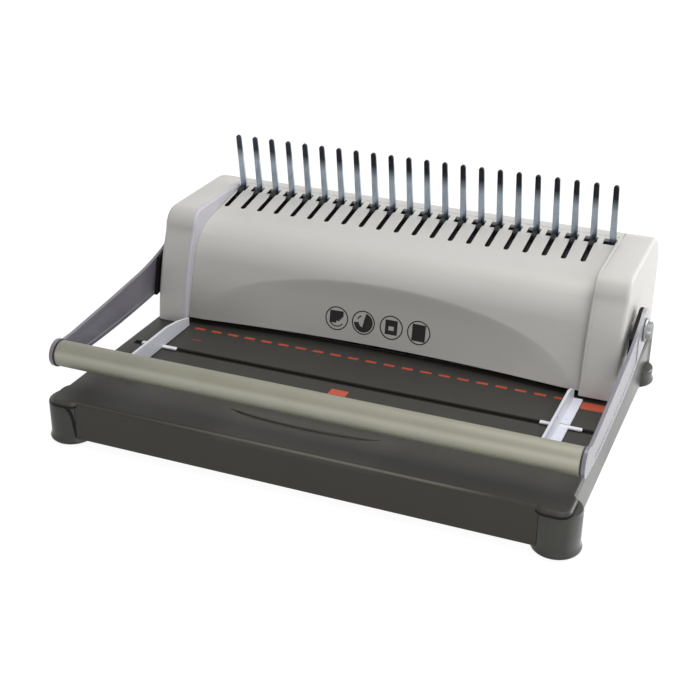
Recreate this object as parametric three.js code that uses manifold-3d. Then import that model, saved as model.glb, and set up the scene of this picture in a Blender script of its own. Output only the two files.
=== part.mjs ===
import * as THREE from 'three';
import { mergeVertices } from 'three/addons/utils/BufferGeometryUtils.js';
import Module from 'manifold-3d';

// A hand-operated machine that punches sheets and opens plastic combs.
// Millimetres. Origin on the table below the middle of the base.
// X runs along the row of tines, Y from the operator to the back, Z up.

// Comb row
const comb_pitch = 14.2875;
const slot_count = 21;
const tine_count = slot_count + 1;
const row_half_length = (slot_count * comb_pitch) / 2;

// Fits
const overrun = 2;
const seam = 0.3;
const running_gap = 0.35;
const panel_gap = 0.4;
const tab_gap = 0.2;

// Widths, from the comb row outwards
const frame_clearance = 3.28;
const frame_thickness = 2.5;
const cap_width = 22.4;
const deck_rim = 3.2;
const arm_clearance = 6.2;
const frame_inner_x = row_half_length + frame_clearance;
const frame_outer_x = frame_inner_x + frame_thickness;
const cover_half_width = frame_outer_x + panel_gap;
const cap_inner_x = cover_half_width + panel_gap;
const housing_half_width = cap_inner_x + cap_width;
const half_width = housing_half_width + deck_rim;
const base_width = 2 * half_width;
const arm_inner_x = housing_half_width + arm_clearance;

// Depths, from the front edge backwards
const deck_reach = 141;
const housing_depth = 136;
const rear_ledge = 1;
const half_depth = (deck_reach + housing_depth + rear_ledge) / 2;
const cap_front_y = deck_reach - half_depth;
const rear_y = cap_front_y + housing_depth;

// Heights
const deck_height = 35;
const throat_height = 4.6;
const housing_height = 84;
const throat_top = deck_height + throat_height;
const cap_top_z = deck_height + housing_height;

// Tines and the row of slots in front of them
const tine_setback = 38.5;
const tine_foot_drop = 2.9;
const tine_height = 45.5;
const tine_lean = 0.163;
const tine_base_width = 5.2;
const tine_tip_width = 3.9;
const tine_thickness = 1.8;
const slot_length = 33;
const slot_drop = 5.5;
const slot_width = 4.8;
const slot_end_gap = 2.5;
const tine_hole_left = 6.4;
const tine_hole_right = 3.2;
const tine_hole_front = 5.2;
const tine_hole_back = 3;
const comb_plate_drop = 5.6;
const comb_plate_height = 37.5;
const tine_foot_y = rear_y - tine_setback;
const tine_foot_z = cap_top_z - tine_foot_drop;
const tine_tip_z = tine_foot_z + tine_height;
const slot_front_y = tine_foot_y - slot_length;
const slot_front_z = tine_foot_z - slot_drop;
const slot_rear_y = tine_foot_y - slot_end_gap;
const comb_plate_top = tine_foot_z - comb_plate_drop;
const comb_plate_bottom = comb_plate_top - comb_plate_height;
const comb_plate_half_width = frame_inner_x - panel_gap;

// Punch line, die and throat
const punch_setback = 28;
const punch_width = 8;
const punch_depth = 3;
const punch_drop = 5;
const punch_travel = 10;
const die_lead = 10;
const die_tail = 18;
const die_flange = 6;
const die_thickness = 6.8;
const guide_block_lead = 7.5;
const guide_block_tail = 11;
const guide_block_height = 11.4;
const stop_setback = 6.4;
const stop_depth = 3.6;
const punch_y = cap_front_y + punch_setback;
const punch_tip_z = deck_height - punch_drop;
const die_half_width = cover_half_width - 2 * seam;
const die_front_y = punch_y - die_lead;
const die_back_y = punch_y + die_tail;
const die_bottom_z = deck_height - die_thickness;
const guide_block_front_y = punch_y - guide_block_lead;
const guide_block_back_y = punch_y + guide_block_tail;
const guide_block_top_z = throat_top + guide_block_height;
const stop_front_y = punch_y + stop_setback;
const stop_back_y = stop_front_y + stop_depth;

// Bar that carries the punches, and the strip that keeps them in it
const carrier_lift = 7;
const carrier_height = 10;
const carrier_half_depth = 5;
const carrier_tab_width = 6;
const keeper_thickness = 2;
const keeper_half_depth = 3.2;
const carrier_bottom_z = guide_block_top_z + carrier_lift;
const carrier_top_z = carrier_bottom_z + carrier_height;
const carrier_half_width = frame_inner_x - 2 * running_gap;
const carrier_tab_reach = frame_outer_x - tab_gap;
const punch_top_z = carrier_top_z + seam;
const keeper_half_width = row_half_length - (comb_pitch - punch_width) / 2 + seam;

// Base
const base_corner_radius = 6;
const base_edge_radius = 2.6;
const skirt_height = 6;
const base_wall = 2.6;
const deck_thickness = 2.8;
const groove_setback = 99;
const groove_width = 3.4;
const groove_end_inset = 7.2;
const grip_recess_width = 112;
const grip_recess_depth = 1.2;
const grip_recess_offset = 6;
const grip_recess_setback = 35;
const grip_recess_sag = 13;
const grip_recess_crown = 5;
const deck_bottom = deck_height - deck_thickness;
const groove_y = groove_setback - half_depth;
const groove_half_length = half_width - groove_end_inset;
const grip_recess_y = grip_recess_setback - half_depth;

// Corner feet and the blocks of the deck over them
const foot_inset_x = 7.8;
const foot_front_inset = 11.5;
const foot_rear_inset = 26;
const foot_radius = 15;
const foot_flare = 1.2;
const foot_flare_height = 8;
const foot_lip = 4.2;
const foot_top_radius = 1.2;
const rear_foot_rise = 7.5;
const pad_radius = 10.5;
const pad_thickness = 3.4;
const pad_proud = 1;
const corner_reach_x = 2.1;
const corner_reach_y = 3.3;
const corner_width = 23.3;
const corner_length = 27.3;
const corner_radius = 8;
const foot_x = half_width - foot_inset_x;
const foot_front_y = foot_front_inset - half_depth;
const foot_rear_y = half_depth - foot_rear_inset;
const foot_bottom = pad_proud;
const foot_top = deck_height - foot_lip;
const rear_foot_top = skirt_height + rear_foot_rise;
const corner_outer_x = half_width + corner_reach_x;
const corner_inner_x = corner_outer_x - corner_width;
const corner_front_y = -half_depth - corner_reach_y;
const corner_back_y = corner_front_y + corner_length;

// Bottom plate and screws
const floor_thickness = 1.5;
const floor_gap = 0.35;
const screw_radius = 3.4;
const screw_head = 1.6;
const screw_recess_radius = 1.3;
const floor_screw_inset_x = 32.2;
const floor_screw_inset_y = 11;
const floor_screw_x = half_width - floor_screw_inset_x;
const floor_screw_y = half_depth - floor_screw_inset_y;
const floor_bottom = skirt_height + floor_gap;
const floor_top = floor_bottom + floor_thickness;

// Chip tray
const tray_row_inset = 2;
const tray_lead = 5;
const tray_wall = 1.8;
const tray_top_gap = 2.85;
const tray_floor_gap = 0.5;
const tray_grip_width = 70;
const tray_grip_height = 9;
const tray_grip_depth = 10;
const tray_grip_wall = 2;
const tray_half_width = row_half_length - tray_row_inset;
const tray_front_y = die_front_y - die_flange - tray_lead;
const tray_height = die_bottom_z - tray_top_gap - floor_top - tray_floor_gap;

// Ribs under the deck
const rib_thickness = 2;
const rib_depth = 11;
const rib_front_gap = 9;
const rib_groove_gap = 13.5;
const rib_tray_gap = 5;
const rib_spacing = half_width / 3;
const rib_front_y = rib_front_gap - half_depth;
const rib_middle_y = groove_y - rib_groove_gap;
const rib_rear_y = groove_y + rib_groove_gap;
const rib_end_y = tray_front_y - rib_tray_gap;

// Housing
const housing_wall = 2.5;
const cap_shoulder_run = 19.5;
const cap_shoulder_drop = 13;
const cap_front_bulge = 3.2;
const cap_front_radius = 15;
const cap_radius_shift_share = 0.94;
const rear_radius = 31;
const cap_edge_radius = 3;
const cap_foot_gap = 0.3;
const side_slot_height = 2.4;
const cap_shoulder_y = cap_front_y + cap_shoulder_run;
const cap_shoulder_z = cap_top_z - cap_shoulder_drop;
const cap_bottom = deck_height + cap_foot_gap;

// Front cover
const cover_front_setback = 4;
const cover_lean_run = 13.95;
const cover_crest_drop = 35.1;
const cover_crest_radius = 34;
const cover_tail = 6.5;
const scoop_width_share = 0.935;
const scoop_rise_share = 1.061;
const scoop_depth = 9.5;
const cover_front_y = cap_front_y + cover_front_setback;
const cover_front_lean_y = cover_front_y + cover_lean_run;
const cover_front_lean_z = cap_top_z - cover_crest_drop;
const cover_back_y = tine_foot_y + cover_tail;
const scoop_half_width = cover_half_width * scoop_width_share;
const scoop_rise = (cover_front_lean_z - throat_top) * scoop_rise_share;

// Rear cover
const vent_width = 60;
const vent_height = 3;
const vent_pitch = 7;
const vent_rows = 4;
const vent_columns = 3;
const vent_column_gap = 20;
const vent_lift = 17;
const rear_cover_front_y = cover_back_y + running_gap;
const vent_column_pitch = vent_width + vent_column_gap;
const vent_low_z = deck_height + vent_lift;

// Comb opener
const opener_drop = 4.2;
const opener_thickness = 2;
const opener_lead = 3.5;
const opener_tail = 3.9;
const opener_tab_length = 12;
const opener_travel = 22;
const hook_thickness = 3.2;
const hook_setback = 10.1;
const hook_depth = 3.8;
const hook_rise = 2;
const hook_lip = 1.9;
const hook_lip_height = 1.6;
const opener_front_y = slot_front_y + opener_lead;
const opener_back_y = tine_foot_y - opener_tail;
const opener_half_width = frame_inner_x - panel_gap;
const opener_tab_reach = frame_outer_x - tab_gap;
const hook_front_y = tine_foot_y - hook_setback;
const hook_back_y = hook_front_y + hook_depth;

// Handle
const pivot_setback = 17;
const pivot_drop = 44;
const handle_reach = 166.5;
const tube_lift = 25;
const shaft_radius = 6;
const tube_radius = 9.2;
const tube_wall = 1.4;
const arm_thickness = 2.6;
const arm_bevel = 0.6;
const arm_tip_radius = 10;
const arm_boss_radius = 15.5;
const arm_pocket_depth = 0.5;
const arm_rim = 3.2;
const arm_spigot = 9;
const spacer_radius = 11;
const bolt_flange_radius = 8.5;
const bolt_flange = 1.5;
const bolt_head_radius = 6.4;
const bolt_head = 3.6;
const pivot_y = punch_y + pivot_setback;
const pivot_z = cap_top_z - pivot_drop;
const tube_y = pivot_y - handle_reach;
const tube_z = deck_height + tube_lift;
const shaft_reach = arm_inner_x + arm_thickness - seam;
const tube_reach = arm_inner_x - running_gap;
// Edges of an arm: shares of the way from the tube to the pivot, and of the pivot's height.
const arm_upper_shares = [
  [0.117, 0.901], [0.273, 0.932], [0.429, 0.964], [0.586, 1], [0.694, 1.027], [0.79, 1.066], [0.874, 1.113],
];
const arm_lower_shares = [
  [0.898, 0.753], [0.802, 0.699], [0.646, 0.669], [0.477, 0.648], [0.345, 0.639], [0.231, 0.637], [0.117, 0.645],
];

// Levers that press the punches, and the bushes of the shaft
const lever_inset = 32;
const lever_thickness = 8;
const lever_hub_radius = 9;
const lever_nose_radius = 4;
const lever_nose_setback = 1.4;
const bush_radius = 9.5;
const bush_flange = 1.6;
const bush_thickness = 5.4;
const lever_x = row_half_length - lever_inset;
const lever_nose_y = punch_y + lever_nose_setback;
const lever_nose_z = punch_top_z + keeper_thickness + lever_nose_radius + seam;

// Frames inside the housing
const frame_lead = 5;
const frame_tail = 7;
const frame_front_top_lead = 3;
const frame_front_top_drop = 19.5;
const frame_back_top_inset = 27;
const frame_back_top_drop = 14;
const frame_knee_drop = 37;
const frame_flange = 13;
const frame_flange_thickness = 2.5;
const frame_flange_gap = 8;
const frame_flange_inset = 7;
const frame_front_y = punch_y - frame_lead;
const frame_back_y = rear_y - frame_tail;
const frame_front_top_y = pivot_y - frame_front_top_lead;
const frame_front_top_z = cap_top_z - frame_front_top_drop;
const frame_back_top_y = rear_y - frame_back_top_inset;
const frame_back_top_z = cap_top_z - frame_back_top_drop;
const frame_knee_z = cap_top_z - frame_knee_drop;
const frame_low_z = throat_top + seam;
const frame_flange_front_y = die_back_y + die_flange + frame_flange_gap;
const frame_flange_back_y = frame_back_y - frame_flange_inset;

// Rail that carries the tines
const rail_drop = 23;
const rail_height = 20;
const rail_depth = 12;
const rail_wall = 2.5;
const rail_top_z = cap_top_z - rail_drop;

// Paper guides
const guide_wall = 2;
const guide_height = 15;
const guide_lead = 49;
const guide_tail = 40;
const guide_taper_length = 15;
const guide_taper_drop = 7;
const guide_flange = 6.4;
const guide_flange_thickness = 1.6;
const guide_corner = 4;
const guide_lift = 0.4;
const slider_offset = 3;
const slider_half_length = 16;
const slider_half_depth = 3;
const slider_height = 3.4;
const slider_stem_half_length = 12;
const slider_stem_half_depth = 1.35;
const slider_shoe_half_length = 14;
const slider_shoe_half_depth = 6;
const slider_shoe_thickness = 2.6;
const guide_inner_x = row_half_length;
const guide_front_y = groove_y - guide_lead;
const guide_back_y = groove_y + guide_tail;
const slider_center_x = guide_inner_x + slider_offset;

// Colours
const paint = {
  base: [0.2, 0.2, 0.2, 0.55, 0],
  foot: [0.17, 0.17, 0.17, 0.7, 0],
  pad: [0.05, 0.05, 0.05, 0.9, 0],
  housing: [0.75, 0.74, 0.71, 0.45, 0],
  steel: [0.55, 0.58, 0.6, 0.35, 1],
  dark_steel: [0.28, 0.29, 0.3, 0.45, 1],
  tool_steel: [0.45, 0.46, 0.48, 0.3, 1],
  arm: [0.5, 0.49, 0.53, 0.45, 0],
  tube: [0.7, 0.69, 0.62, 0.35, 1],
  guide: [0.86, 0.87, 0.9, 0.3, 0],
  tray: [0.16, 0.16, 0.17, 0.6, 0],
};

const wasm = await Module();
wasm.setup();

function finish(key) {
  const [r, g, b, roughness, metalness] = paint[key];
  return new THREE.MeshStandardMaterial({ name: key, color: new THREE.Color(r, g, b), roughness, metalness });
}

function solid(geometry) {
  const bare = new THREE.BufferGeometry();
  bare.setAttribute('position', geometry.getAttribute('position').clone());
  if (geometry.index) bare.setIndex(geometry.index.clone());
  const merged = mergeVertices(bare, seam / 1000);
  const mesh = new wasm.Mesh({
    numProp: 3,
    vertProperties: Float32Array.from(merged.getAttribute('position').array),
    triVerts: Uint32Array.from(merged.index.array),
  });
  return new wasm.Manifold(mesh);
}

function union(solids) {
  let total = solids[0];
  for (const next of solids.slice(1)) total = total.add(next);
  return total;
}

function cut(body, tools) {
  let rest = body;
  for (const tool of tools) rest = rest.subtract(tool);
  return rest;
}

function box(x0, x1, y0, y1, z0, z1) {
  const geometry = new THREE.BoxGeometry(x1 - x0, y1 - y0, z1 - z0);
  geometry.translate((x0 + x1) / 2, (y0 + y1) / 2, (z0 + z1) / 2);
  return solid(geometry);
}

function rod(radius, x0, x1, y, z, sides = 24) {
  const geometry = new THREE.CylinderGeometry(radius, radius, x1 - x0, sides);
  geometry.rotateZ(-Math.PI / 2);
  geometry.translate((x0 + x1) / 2, y, z);
  return solid(geometry);
}

function post(radius, x, y, z0, z1, sides = 24) {
  const geometry = new THREE.CylinderGeometry(radius, radius, z1 - z0, sides);
  geometry.rotateX(Math.PI / 2);
  geometry.translate(x, y, (z0 + z1) / 2);
  return solid(geometry);
}

function shapeOf(points) {
  return new THREE.Shape(points.map(([u, v]) => new THREE.Vector2(u, v)));
}

// A YZ outline drawn out along X.
function prismX(points, x0, x1, bevel = 0) {
  const options = { depth: x1 - x0 - 2 * bevel, bevelEnabled: bevel > 0, steps: 1 };
  if (bevel > 0) {
    options.bevelThickness = bevel;
    options.bevelSize = bevel;
    options.bevelOffset = -bevel;
    options.bevelSegments = 1;
  }
  const geometry = new THREE.ExtrudeGeometry(shapeOf(points), options);
  geometry.translate(0, 0, bevel);
  const axes = new THREE.Matrix4().makeBasis(
    new THREE.Vector3(0, 1, 0),
    new THREE.Vector3(0, 0, 1),
    new THREE.Vector3(1, 0, 0),
  );
  geometry.applyMatrix4(axes);
  geometry.translate(x0, 0, 0);
  return solid(geometry);
}

// An XY outline drawn up along Z.
function prismZ(points, z0, z1) {
  const geometry = new THREE.ExtrudeGeometry(shapeOf(points), { depth: z1 - z0, bevelEnabled: false, steps: 1 });
  geometry.translate(0, 0, z0);
  return solid(geometry);
}

// Skins a row of closed loops with equal point counts and closes both ends,
// with a fan, or across a wall whose two faces run forth and back.
function loft(loops, walled = false) {
  const count = loops[0].length;
  const positions = [];
  for (const loop of loops) for (const point of loop) positions.push(...point);
  const index = [];
  for (let i = 0; i + 1 < loops.length; i += 1) {
    for (let k = 0; k < count; k += 1) {
      const next = (k + 1) % count;
      const a = i * count + k;
      const b = i * count + next;
      index.push(a, b, a + count);
      index.push(b, b + count, a + count);
    }
  }
  for (const end of [0, loops.length - 1]) {
    const first = end * count;
    const faces = [];
    if (walled) {
      for (let k = 0; k + 1 < count / 2; k += 1) {
        const far = count - 1 - k;
        faces.push([k, k + 1, far], [k + 1, far - 1, far]);
      }
    } else {
      const middle = loops[end].reduce((sum, point) => sum.map((v, i) => v + point[i] / count), [0, 0, 0]);
      const hub = positions.length / 3 - first;
      positions.push(...middle);
      for (let k = 0; k < count; k += 1) faces.push([k, (k + 1) % count, hub]);
    }
    for (const [a, b, c] of faces) {
      const face = end === 0 ? [a, c, b] : [a, b, c];
      index.push(...face.map((v) => first + v));
    }
  }
  const corner = (k) => new THREE.Vector3().fromArray(positions, 3 * index[k]);
  let volume = 0;
  for (let k = 0; k < index.length; k += 3) volume += corner(k).dot(corner(k + 1).cross(corner(k + 2)));
  if (volume < 0) index.reverse();
  const geometry = new THREE.BufferGeometry();
  geometry.setAttribute('position', new THREE.Float32BufferAttribute(positions, 3));
  geometry.setIndex(index);
  return solid(geometry);
}

function arc(cy, cz, radius, from, to, steps) {
  const points = [];
  for (let i = 0; i <= steps; i += 1) {
    const angle = from + ((to - from) * i) / steps;
    points.push([cy + radius * Math.cos(angle), cz + radius * Math.sin(angle)]);
  }
  return points;
}

function roundedRectangle(x, y, radius, steps = 5) {
  const points = [];
  const corners = [
    [x - radius, -y + radius, -Math.PI / 2],
    [x - radius, y - radius, 0],
    [-x + radius, y - radius, Math.PI / 2],
    [-x + radius, -y + radius, Math.PI],
  ];
  for (const [cx, cy, start] of corners) points.push(...arc(cx, cy, radius, start, start + Math.PI / 2, steps));
  return points;
}

function slabs(levels, cx = 0, cy = 0) {
  const loops = levels.map(([z, x, y, r]) => roundedRectangle(x, y, r).map(([u, v]) => [u + cx, v + cy, z]));
  return loft(loops);
}

// Moves an open outline inwards; its two ends stay at their own height.
function inset(points, distance) {
  return points.map((point, i) => {
    const before = points[Math.max(i - 1, 0)];
    const after = points[Math.min(i + 1, points.length - 1)];
    const a = new THREE.Vector2(point[0] - before[0], point[1] - before[1]).normalize();
    const b = new THREE.Vector2(after[0] - point[0], after[1] - point[1]).normalize();
    if (i === 0) return [point[0] + distance, point[1]];
    if (i === points.length - 1) return [point[0] - distance, point[1]];
    const mean = a.add(b).normalize();
    const share = 1 / Math.max(mean.dot(b), 0.5);
    return [point[0] + mean.y * distance * share, point[1] - mean.x * distance * share];
  });
}

const tineX = (i) => (i - (tine_count - 1) / 2) * comb_pitch;
const slotX = (j) => (j - (slot_count - 1) / 2) * comb_pitch;
const punchX = (j) => (j - (slot_count - 1) / 2) * comb_pitch;

const footY = (sy) => (sy < 0 ? foot_front_y : foot_rear_y);
const comb_slope = Math.atan2(tine_foot_z - slot_front_z, tine_foot_y - slot_front_y);
const slopeZ = (y) => tine_foot_z + (y - tine_foot_y) * Math.tan(comb_slope);

// Loops of a block with plumb sides and a rounded top edge.
function easedLevels(bottom, x, y, radius) {
  const r = base_edge_radius;
  const levels = [[bottom, x, y, radius], [deck_height - r, x, y, radius]];
  for (let i = 1; i <= 3; i += 1) {
    const angle = (i / 3) * (Math.PI / 2);
    const draw = r * (1 - Math.cos(angle));
    levels.push([deck_height - r + r * Math.sin(angle), x - draw, y - draw, radius - draw]);
  }
  return levels;
}

// Base: a moulded tray turned upside down.
function makeBase() {
  const outer = easedLevels(skirt_height, half_width, half_depth, base_corner_radius);
  const inner_radius = base_corner_radius - base_wall;
  const hollow = slabs([
    [skirt_height - overrun, half_width - base_wall, half_depth - base_wall, inner_radius],
    [deck_bottom, half_width - base_wall, half_depth - base_wall, inner_radius],
  ]);
  let shell = slabs(outer).subtract(hollow);
  const wells = [];
  const linings = [];
  const lobes = [];
  const lobe_levels = easedLevels(
    foot_top + seam, (corner_outer_x - corner_inner_x) / 2, (corner_back_y - corner_front_y) / 2, corner_radius,
  );
  const lining_radius = foot_radius + seam + base_wall;
  for (const sx of [-1, 1]) {
    const x = sx * foot_x;
    wells.push(post(foot_radius + seam, x, foot_front_y, 0, foot_top + seam, 28));
    wells.push(post(foot_radius + seam, x, foot_rear_y, 0, rear_foot_top + seam, 28));
    linings.push(post(lining_radius, x, foot_front_y, skirt_height, deck_bottom + seam, 28));
    linings.push(post(lining_radius, x, foot_rear_y, skirt_height, rear_foot_top + seam + base_wall, 28));
    const middle_x = (sx * (corner_outer_x + corner_inner_x)) / 2;
    lobes.push(slabs(lobe_levels, middle_x, (corner_back_y + corner_front_y) / 2));
  }
  const bounds = slabs([
    [skirt_height, half_width - seam, half_depth - seam, base_corner_radius],
    [deck_height - base_wall, half_width - seam, half_depth - seam, base_corner_radius],
  ]);
  shell = shell.add(union(linings).intersect(bounds)).add(union(lobes));
  const ribs = [];
  for (const row of [-2, -1, 0, 1, 2]) {
    const x = row * rib_spacing;
    for (const [y0, y1] of [[rib_front_y, rib_middle_y], [rib_rear_y, rib_end_y]]) {
      ribs.push(box(x - rib_thickness / 2, x + rib_thickness / 2, y0, y1, deck_bottom - rib_depth, deck_bottom + seam));
    }
  }
  ribs.push(box(
    -half_width + base_wall - seam, half_width - base_wall + seam,
    rib_middle_y - rib_thickness, rib_middle_y, deck_bottom - rib_depth, deck_bottom + seam,
  ));
  ribs.push(box(
    -half_width + base_wall - seam, half_width - base_wall + seam,
    rib_end_y - rib_thickness, rib_end_y, floor_top + seam, deck_bottom + seam,
  ));
  shell = shell.add(union(ribs));
  const tools = [union(wells)];
  tools.push(box(
    -groove_half_length, groove_half_length,
    groove_y - groove_width / 2, groove_y + groove_width / 2, deck_bottom - overrun, deck_height + overrun,
  ));
  tools.push(box(
    -die_half_width - seam, die_half_width + seam,
    die_front_y - seam, die_back_y + seam, deck_bottom - overrun, deck_height + overrun,
  ));
  const opening = tray_half_width + seam * 2;
  tools.push(box(
    -opening, opening, half_depth - base_wall - overrun, half_depth + overrun,
    floor_top + tray_floor_gap - seam, floor_top + tray_floor_gap + tray_height + seam * 2,
  ));
  const half = grip_recess_width / 2;
  const crescent = [];
  for (let i = 0; i <= 16; i += 1) {
    const share = (i / 16) * 2 - 1;
    crescent.push([half * share - grip_recess_offset, grip_recess_y - grip_recess_sag * (1 - share * share)]);
  }
  for (let i = 15; i >= 1; i -= 1) {
    const share = (i / 16) * 2 - 1;
    crescent.push([half * share - grip_recess_offset, grip_recess_y - grip_recess_crown * (1 - share * share)]);
  }
  tools.push(prismZ(crescent, deck_height - grip_recess_depth, deck_height + overrun));
  return cut(shell, tools);
}

function makeFoot(sx, sy) {
  const top = sy < 0 ? foot_top : rear_foot_top;
  const profile = [[0, foot_bottom]];
  profile.push([foot_radius - foot_flare, foot_bottom]);
  profile.push([foot_radius + foot_flare * 0.4, foot_bottom + foot_flare * 0.5]);
  profile.push([foot_radius + foot_flare, foot_bottom + foot_flare * 1.8]);
  profile.push([foot_radius + foot_flare * 0.8, foot_bottom + foot_flare * 2.6]);
  profile.push([foot_radius, foot_bottom + foot_flare_height * 0.75]);
  for (let i = 0; i <= 1; i += 1) {
    const angle = i * (Math.PI / 2);
    profile.push([
      foot_radius - foot_top_radius * (1 - Math.cos(angle)),
      top - foot_top_radius * (1 - Math.sin(angle)),
    ]);
  }
  profile.push([0, top]);
  const geometry = new THREE.LatheGeometry(profile.map(([r, z]) => new THREE.Vector2(r, z)), 28);
  geometry.rotateX(Math.PI / 2);
  geometry.translate(sx * foot_x, footY(sy), 0);
  let body = solid(geometry);
  const flare_top = foot_bottom + foot_flare_height;
  const reach = foot_radius + foot_flare + overrun;
  const cx = sx * foot_x;
  const cy = footY(sy);
  // The flared ring shows only outside the skirt, and below it.
  const skirt = box(
    sx > 0 ? cx - reach : -half_width - seam, sx > 0 ? half_width + seam : cx + reach,
    sy > 0 ? cy - reach : -half_depth - seam, sy > 0 ? half_depth + seam : cy + reach,
    skirt_height - seam, flare_top,
  );
  const ring = post(reach, cx, cy, skirt_height - seam - seam, flare_top + seam, 24)
    .subtract(post(foot_radius, cx, cy, 0, flare_top + overrun, 28));
  body = body.subtract(skirt.intersect(ring));
  return body.subtract(post(pad_radius + seam, cx, cy, 0, pad_thickness + seam, 24));
}

function makeFloor() {
  const gap = base_wall + seam;
  let plate = slabs([
    [floor_bottom, half_width - gap, half_depth - gap, base_corner_radius - base_wall],
    [floor_top, half_width - gap, half_depth - gap, base_corner_radius - base_wall],
  ]);
  const tools = [];
  for (const sx of [-1, 1]) {
    for (const sy of [-1, 1]) {
      tools.push(post(foot_radius + base_wall + 2 * seam, sx * foot_x, footY(sy), 0, deck_height, 28));
    }
  }
  return cut(plate, tools);
}

function floorScrew(sx, sy) {
  const x = sx * floor_screw_x;
  const y = sy * floor_screw_y;
  const head = post(screw_radius, x, y, floor_bottom - seam - screw_head, floor_bottom - seam, 20);
  const recess = post(screw_recess_radius, x, y, 0, floor_bottom - seam - screw_head / 2, 6);
  return head.subtract(recess);
}

function makeTray() {
  const z0 = floor_top + tray_floor_gap;
  const z1 = z0 + tray_height;
  const back = half_depth - base_wall - seam;
  const outer = box(-tray_half_width, tray_half_width, tray_front_y, back, z0, z1);
  const inner = box(
    -tray_half_width + tray_wall, tray_half_width - tray_wall,
    tray_front_y + tray_wall, back - tray_wall, z0 + tray_wall, z1 + overrun,
  );
  const half = tray_grip_width / 2 + tray_wall + seam;
  const cup_space = box(-half, half, back - tray_wall - seam, half_depth, z0 + tray_wall, z1 + overrun);
  return outer.subtract(inner).subtract(cup_space);
}

function makeTrayPanel() {
  const z0 = floor_top + tray_floor_gap;
  const z1 = z0 + tray_height;
  const plate = box(-tray_half_width, tray_half_width, half_depth - base_wall, half_depth, z0, z1);
  const half = tray_grip_width / 2;
  const middle = (z0 + z1) / 2;
  const low = middle - tray_grip_height / 2;
  const high = middle + tray_grip_height / 2;
  const inner = half_depth - tray_grip_depth;
  const cup = box(-half - tray_wall, half + tray_wall, inner - tray_wall, half_depth - seam, low - tray_wall, high + tray_wall);
  const mouth = box(-half, half, inner, half_depth + overrun, low, high);
  const ledge = box(-half - seam, half + seam, half_depth - tray_grip_wall, half_depth, high - tray_grip_wall, high + seam);
  return plate.add(cup).subtract(mouth).add(ledge);
}

// Outline shared by the end caps and, behind the tines, by the rear cover.
function capOutline() {
  const points = [];
  const chord = new THREE.Vector2(cap_shoulder_y - cap_front_y, cap_shoulder_z - cap_bottom);
  const normal = new THREE.Vector2(-chord.y, chord.x).normalize();
  for (let i = 0; i < 6; i += 1) {
    const share = i / 6;
    const bulge = 4 * share * (1 - share) * cap_front_bulge;
    points.push([
      cap_front_y + chord.x * share + normal.x * bulge,
      cap_bottom + chord.y * share + normal.y * bulge,
    ]);
  }
  const cy = cap_shoulder_y + cap_front_radius * cap_radius_shift_share;
  const cz = cap_top_z - cap_front_radius;
  const start = Math.PI - 0.12;
  points.push(...arc(cy, cz, cap_front_radius, start, Math.PI / 2, 5));
  points.push(...rearOutline());
  return points;
}

function rearOutline() {
  const points = arc(rear_y - rear_radius, cap_top_z - rear_radius, rear_radius, Math.PI / 2, 0, 7);
  points.push([rear_y, cap_bottom]);
  return points;
}

function capStations(radius, x_end, steps) {
  const stations = [];
  for (let i = 0; i <= steps; i += 1) {
    const angle = (i / steps) * (Math.PI / 2);
    stations.push([x_end - radius + radius * Math.sin(angle), radius * (1 - Math.cos(angle))]);
  }
  return stations;
}

function makeCap(side) {
  const outline = capOutline();
  const ringAt = (x, distance, drop) => {
    const ring = inset(outline, distance).map(([y, z]) => [side * x, y, z]);
    if (drop > 0) {
      ring[0][2] -= drop;
      ring[ring.length - 1][2] -= drop;
    }
    return ring;
  };
  const rings = [ringAt(cap_inner_x, 0, 0)];
  for (const [x, d] of capStations(cap_edge_radius, housing_half_width, 4)) rings.push(ringAt(x, d, 0));
  const inner_x = cap_inner_x + housing_wall;
  const inner_end = housing_half_width - housing_wall;
  const hollow_rings = [ringAt(inner_x, housing_wall, overrun)];
  for (const [x, d] of capStations(cap_edge_radius - housing_wall, inner_end, 2)) {
    hollow_rings.push(ringAt(x, housing_wall + d, overrun));
  }
  const body = loft(rings).subtract(loft(hollow_rings));
  const a = side * (cap_inner_x - overrun);
  const b = side * (housing_half_width + overrun);
  const hole = rod(shaft_radius + running_gap, Math.min(a, b), Math.max(a, b), pivot_y, pivot_z);
  const wall_hole = rod(
    bush_radius + seam, Math.min(a, a + side * (housing_wall + 2 * overrun)),
    Math.max(a, a + side * (housing_wall + 2 * overrun)), pivot_y, pivot_z,
  );
  const tools = [hole, wall_hole];
  // The throat runs out to the right under the cap.
  if (side > 0) {
    tools.push(box(
      a, b, cap_front_y - cap_front_radius, stop_front_y, deck_height - overrun, cap_bottom + side_slot_height,
    ));
  }
  return cut(body, tools);
}

// Outline of the cover's face: flat leaning front, rolled crest, sloping top.
function coverCurve() {
  const front = new THREE.Vector2(cover_front_lean_y - cover_front_y, cover_front_lean_z - throat_top).normalize();
  const front_angle = Math.atan2(front.y, front.x);
  const r = cover_crest_radius;
  const cy = cover_front_lean_y + r * Math.sin(front_angle);
  const cz = cover_front_lean_z - r * Math.cos(front_angle);
  const start = front_angle + Math.PI / 2;
  const end = comb_slope + Math.PI / 2;
  const crest = arc(cy, cz, r, start, end, 7);
  const lift = slopeZ(crest[crest.length - 1][0]) - crest[crest.length - 1][1];
  return { crest, lift };
}

const cover_curve = coverCurve();

function scoopTop(x) {
  const share = Math.min(Math.abs(x) / scoop_half_width, 1);
  return throat_top + Math.max(scoop_rise * Math.sqrt(Math.max(1 - share * share, 0)), throat_height / 3);
}

function scoopDepth(x, z) {
  const u = x / scoop_half_width;
  const v = (z - throat_top) / scoop_rise;
  return scoop_depth * Math.max(1 - u * u - v * v, 0);
}

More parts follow.
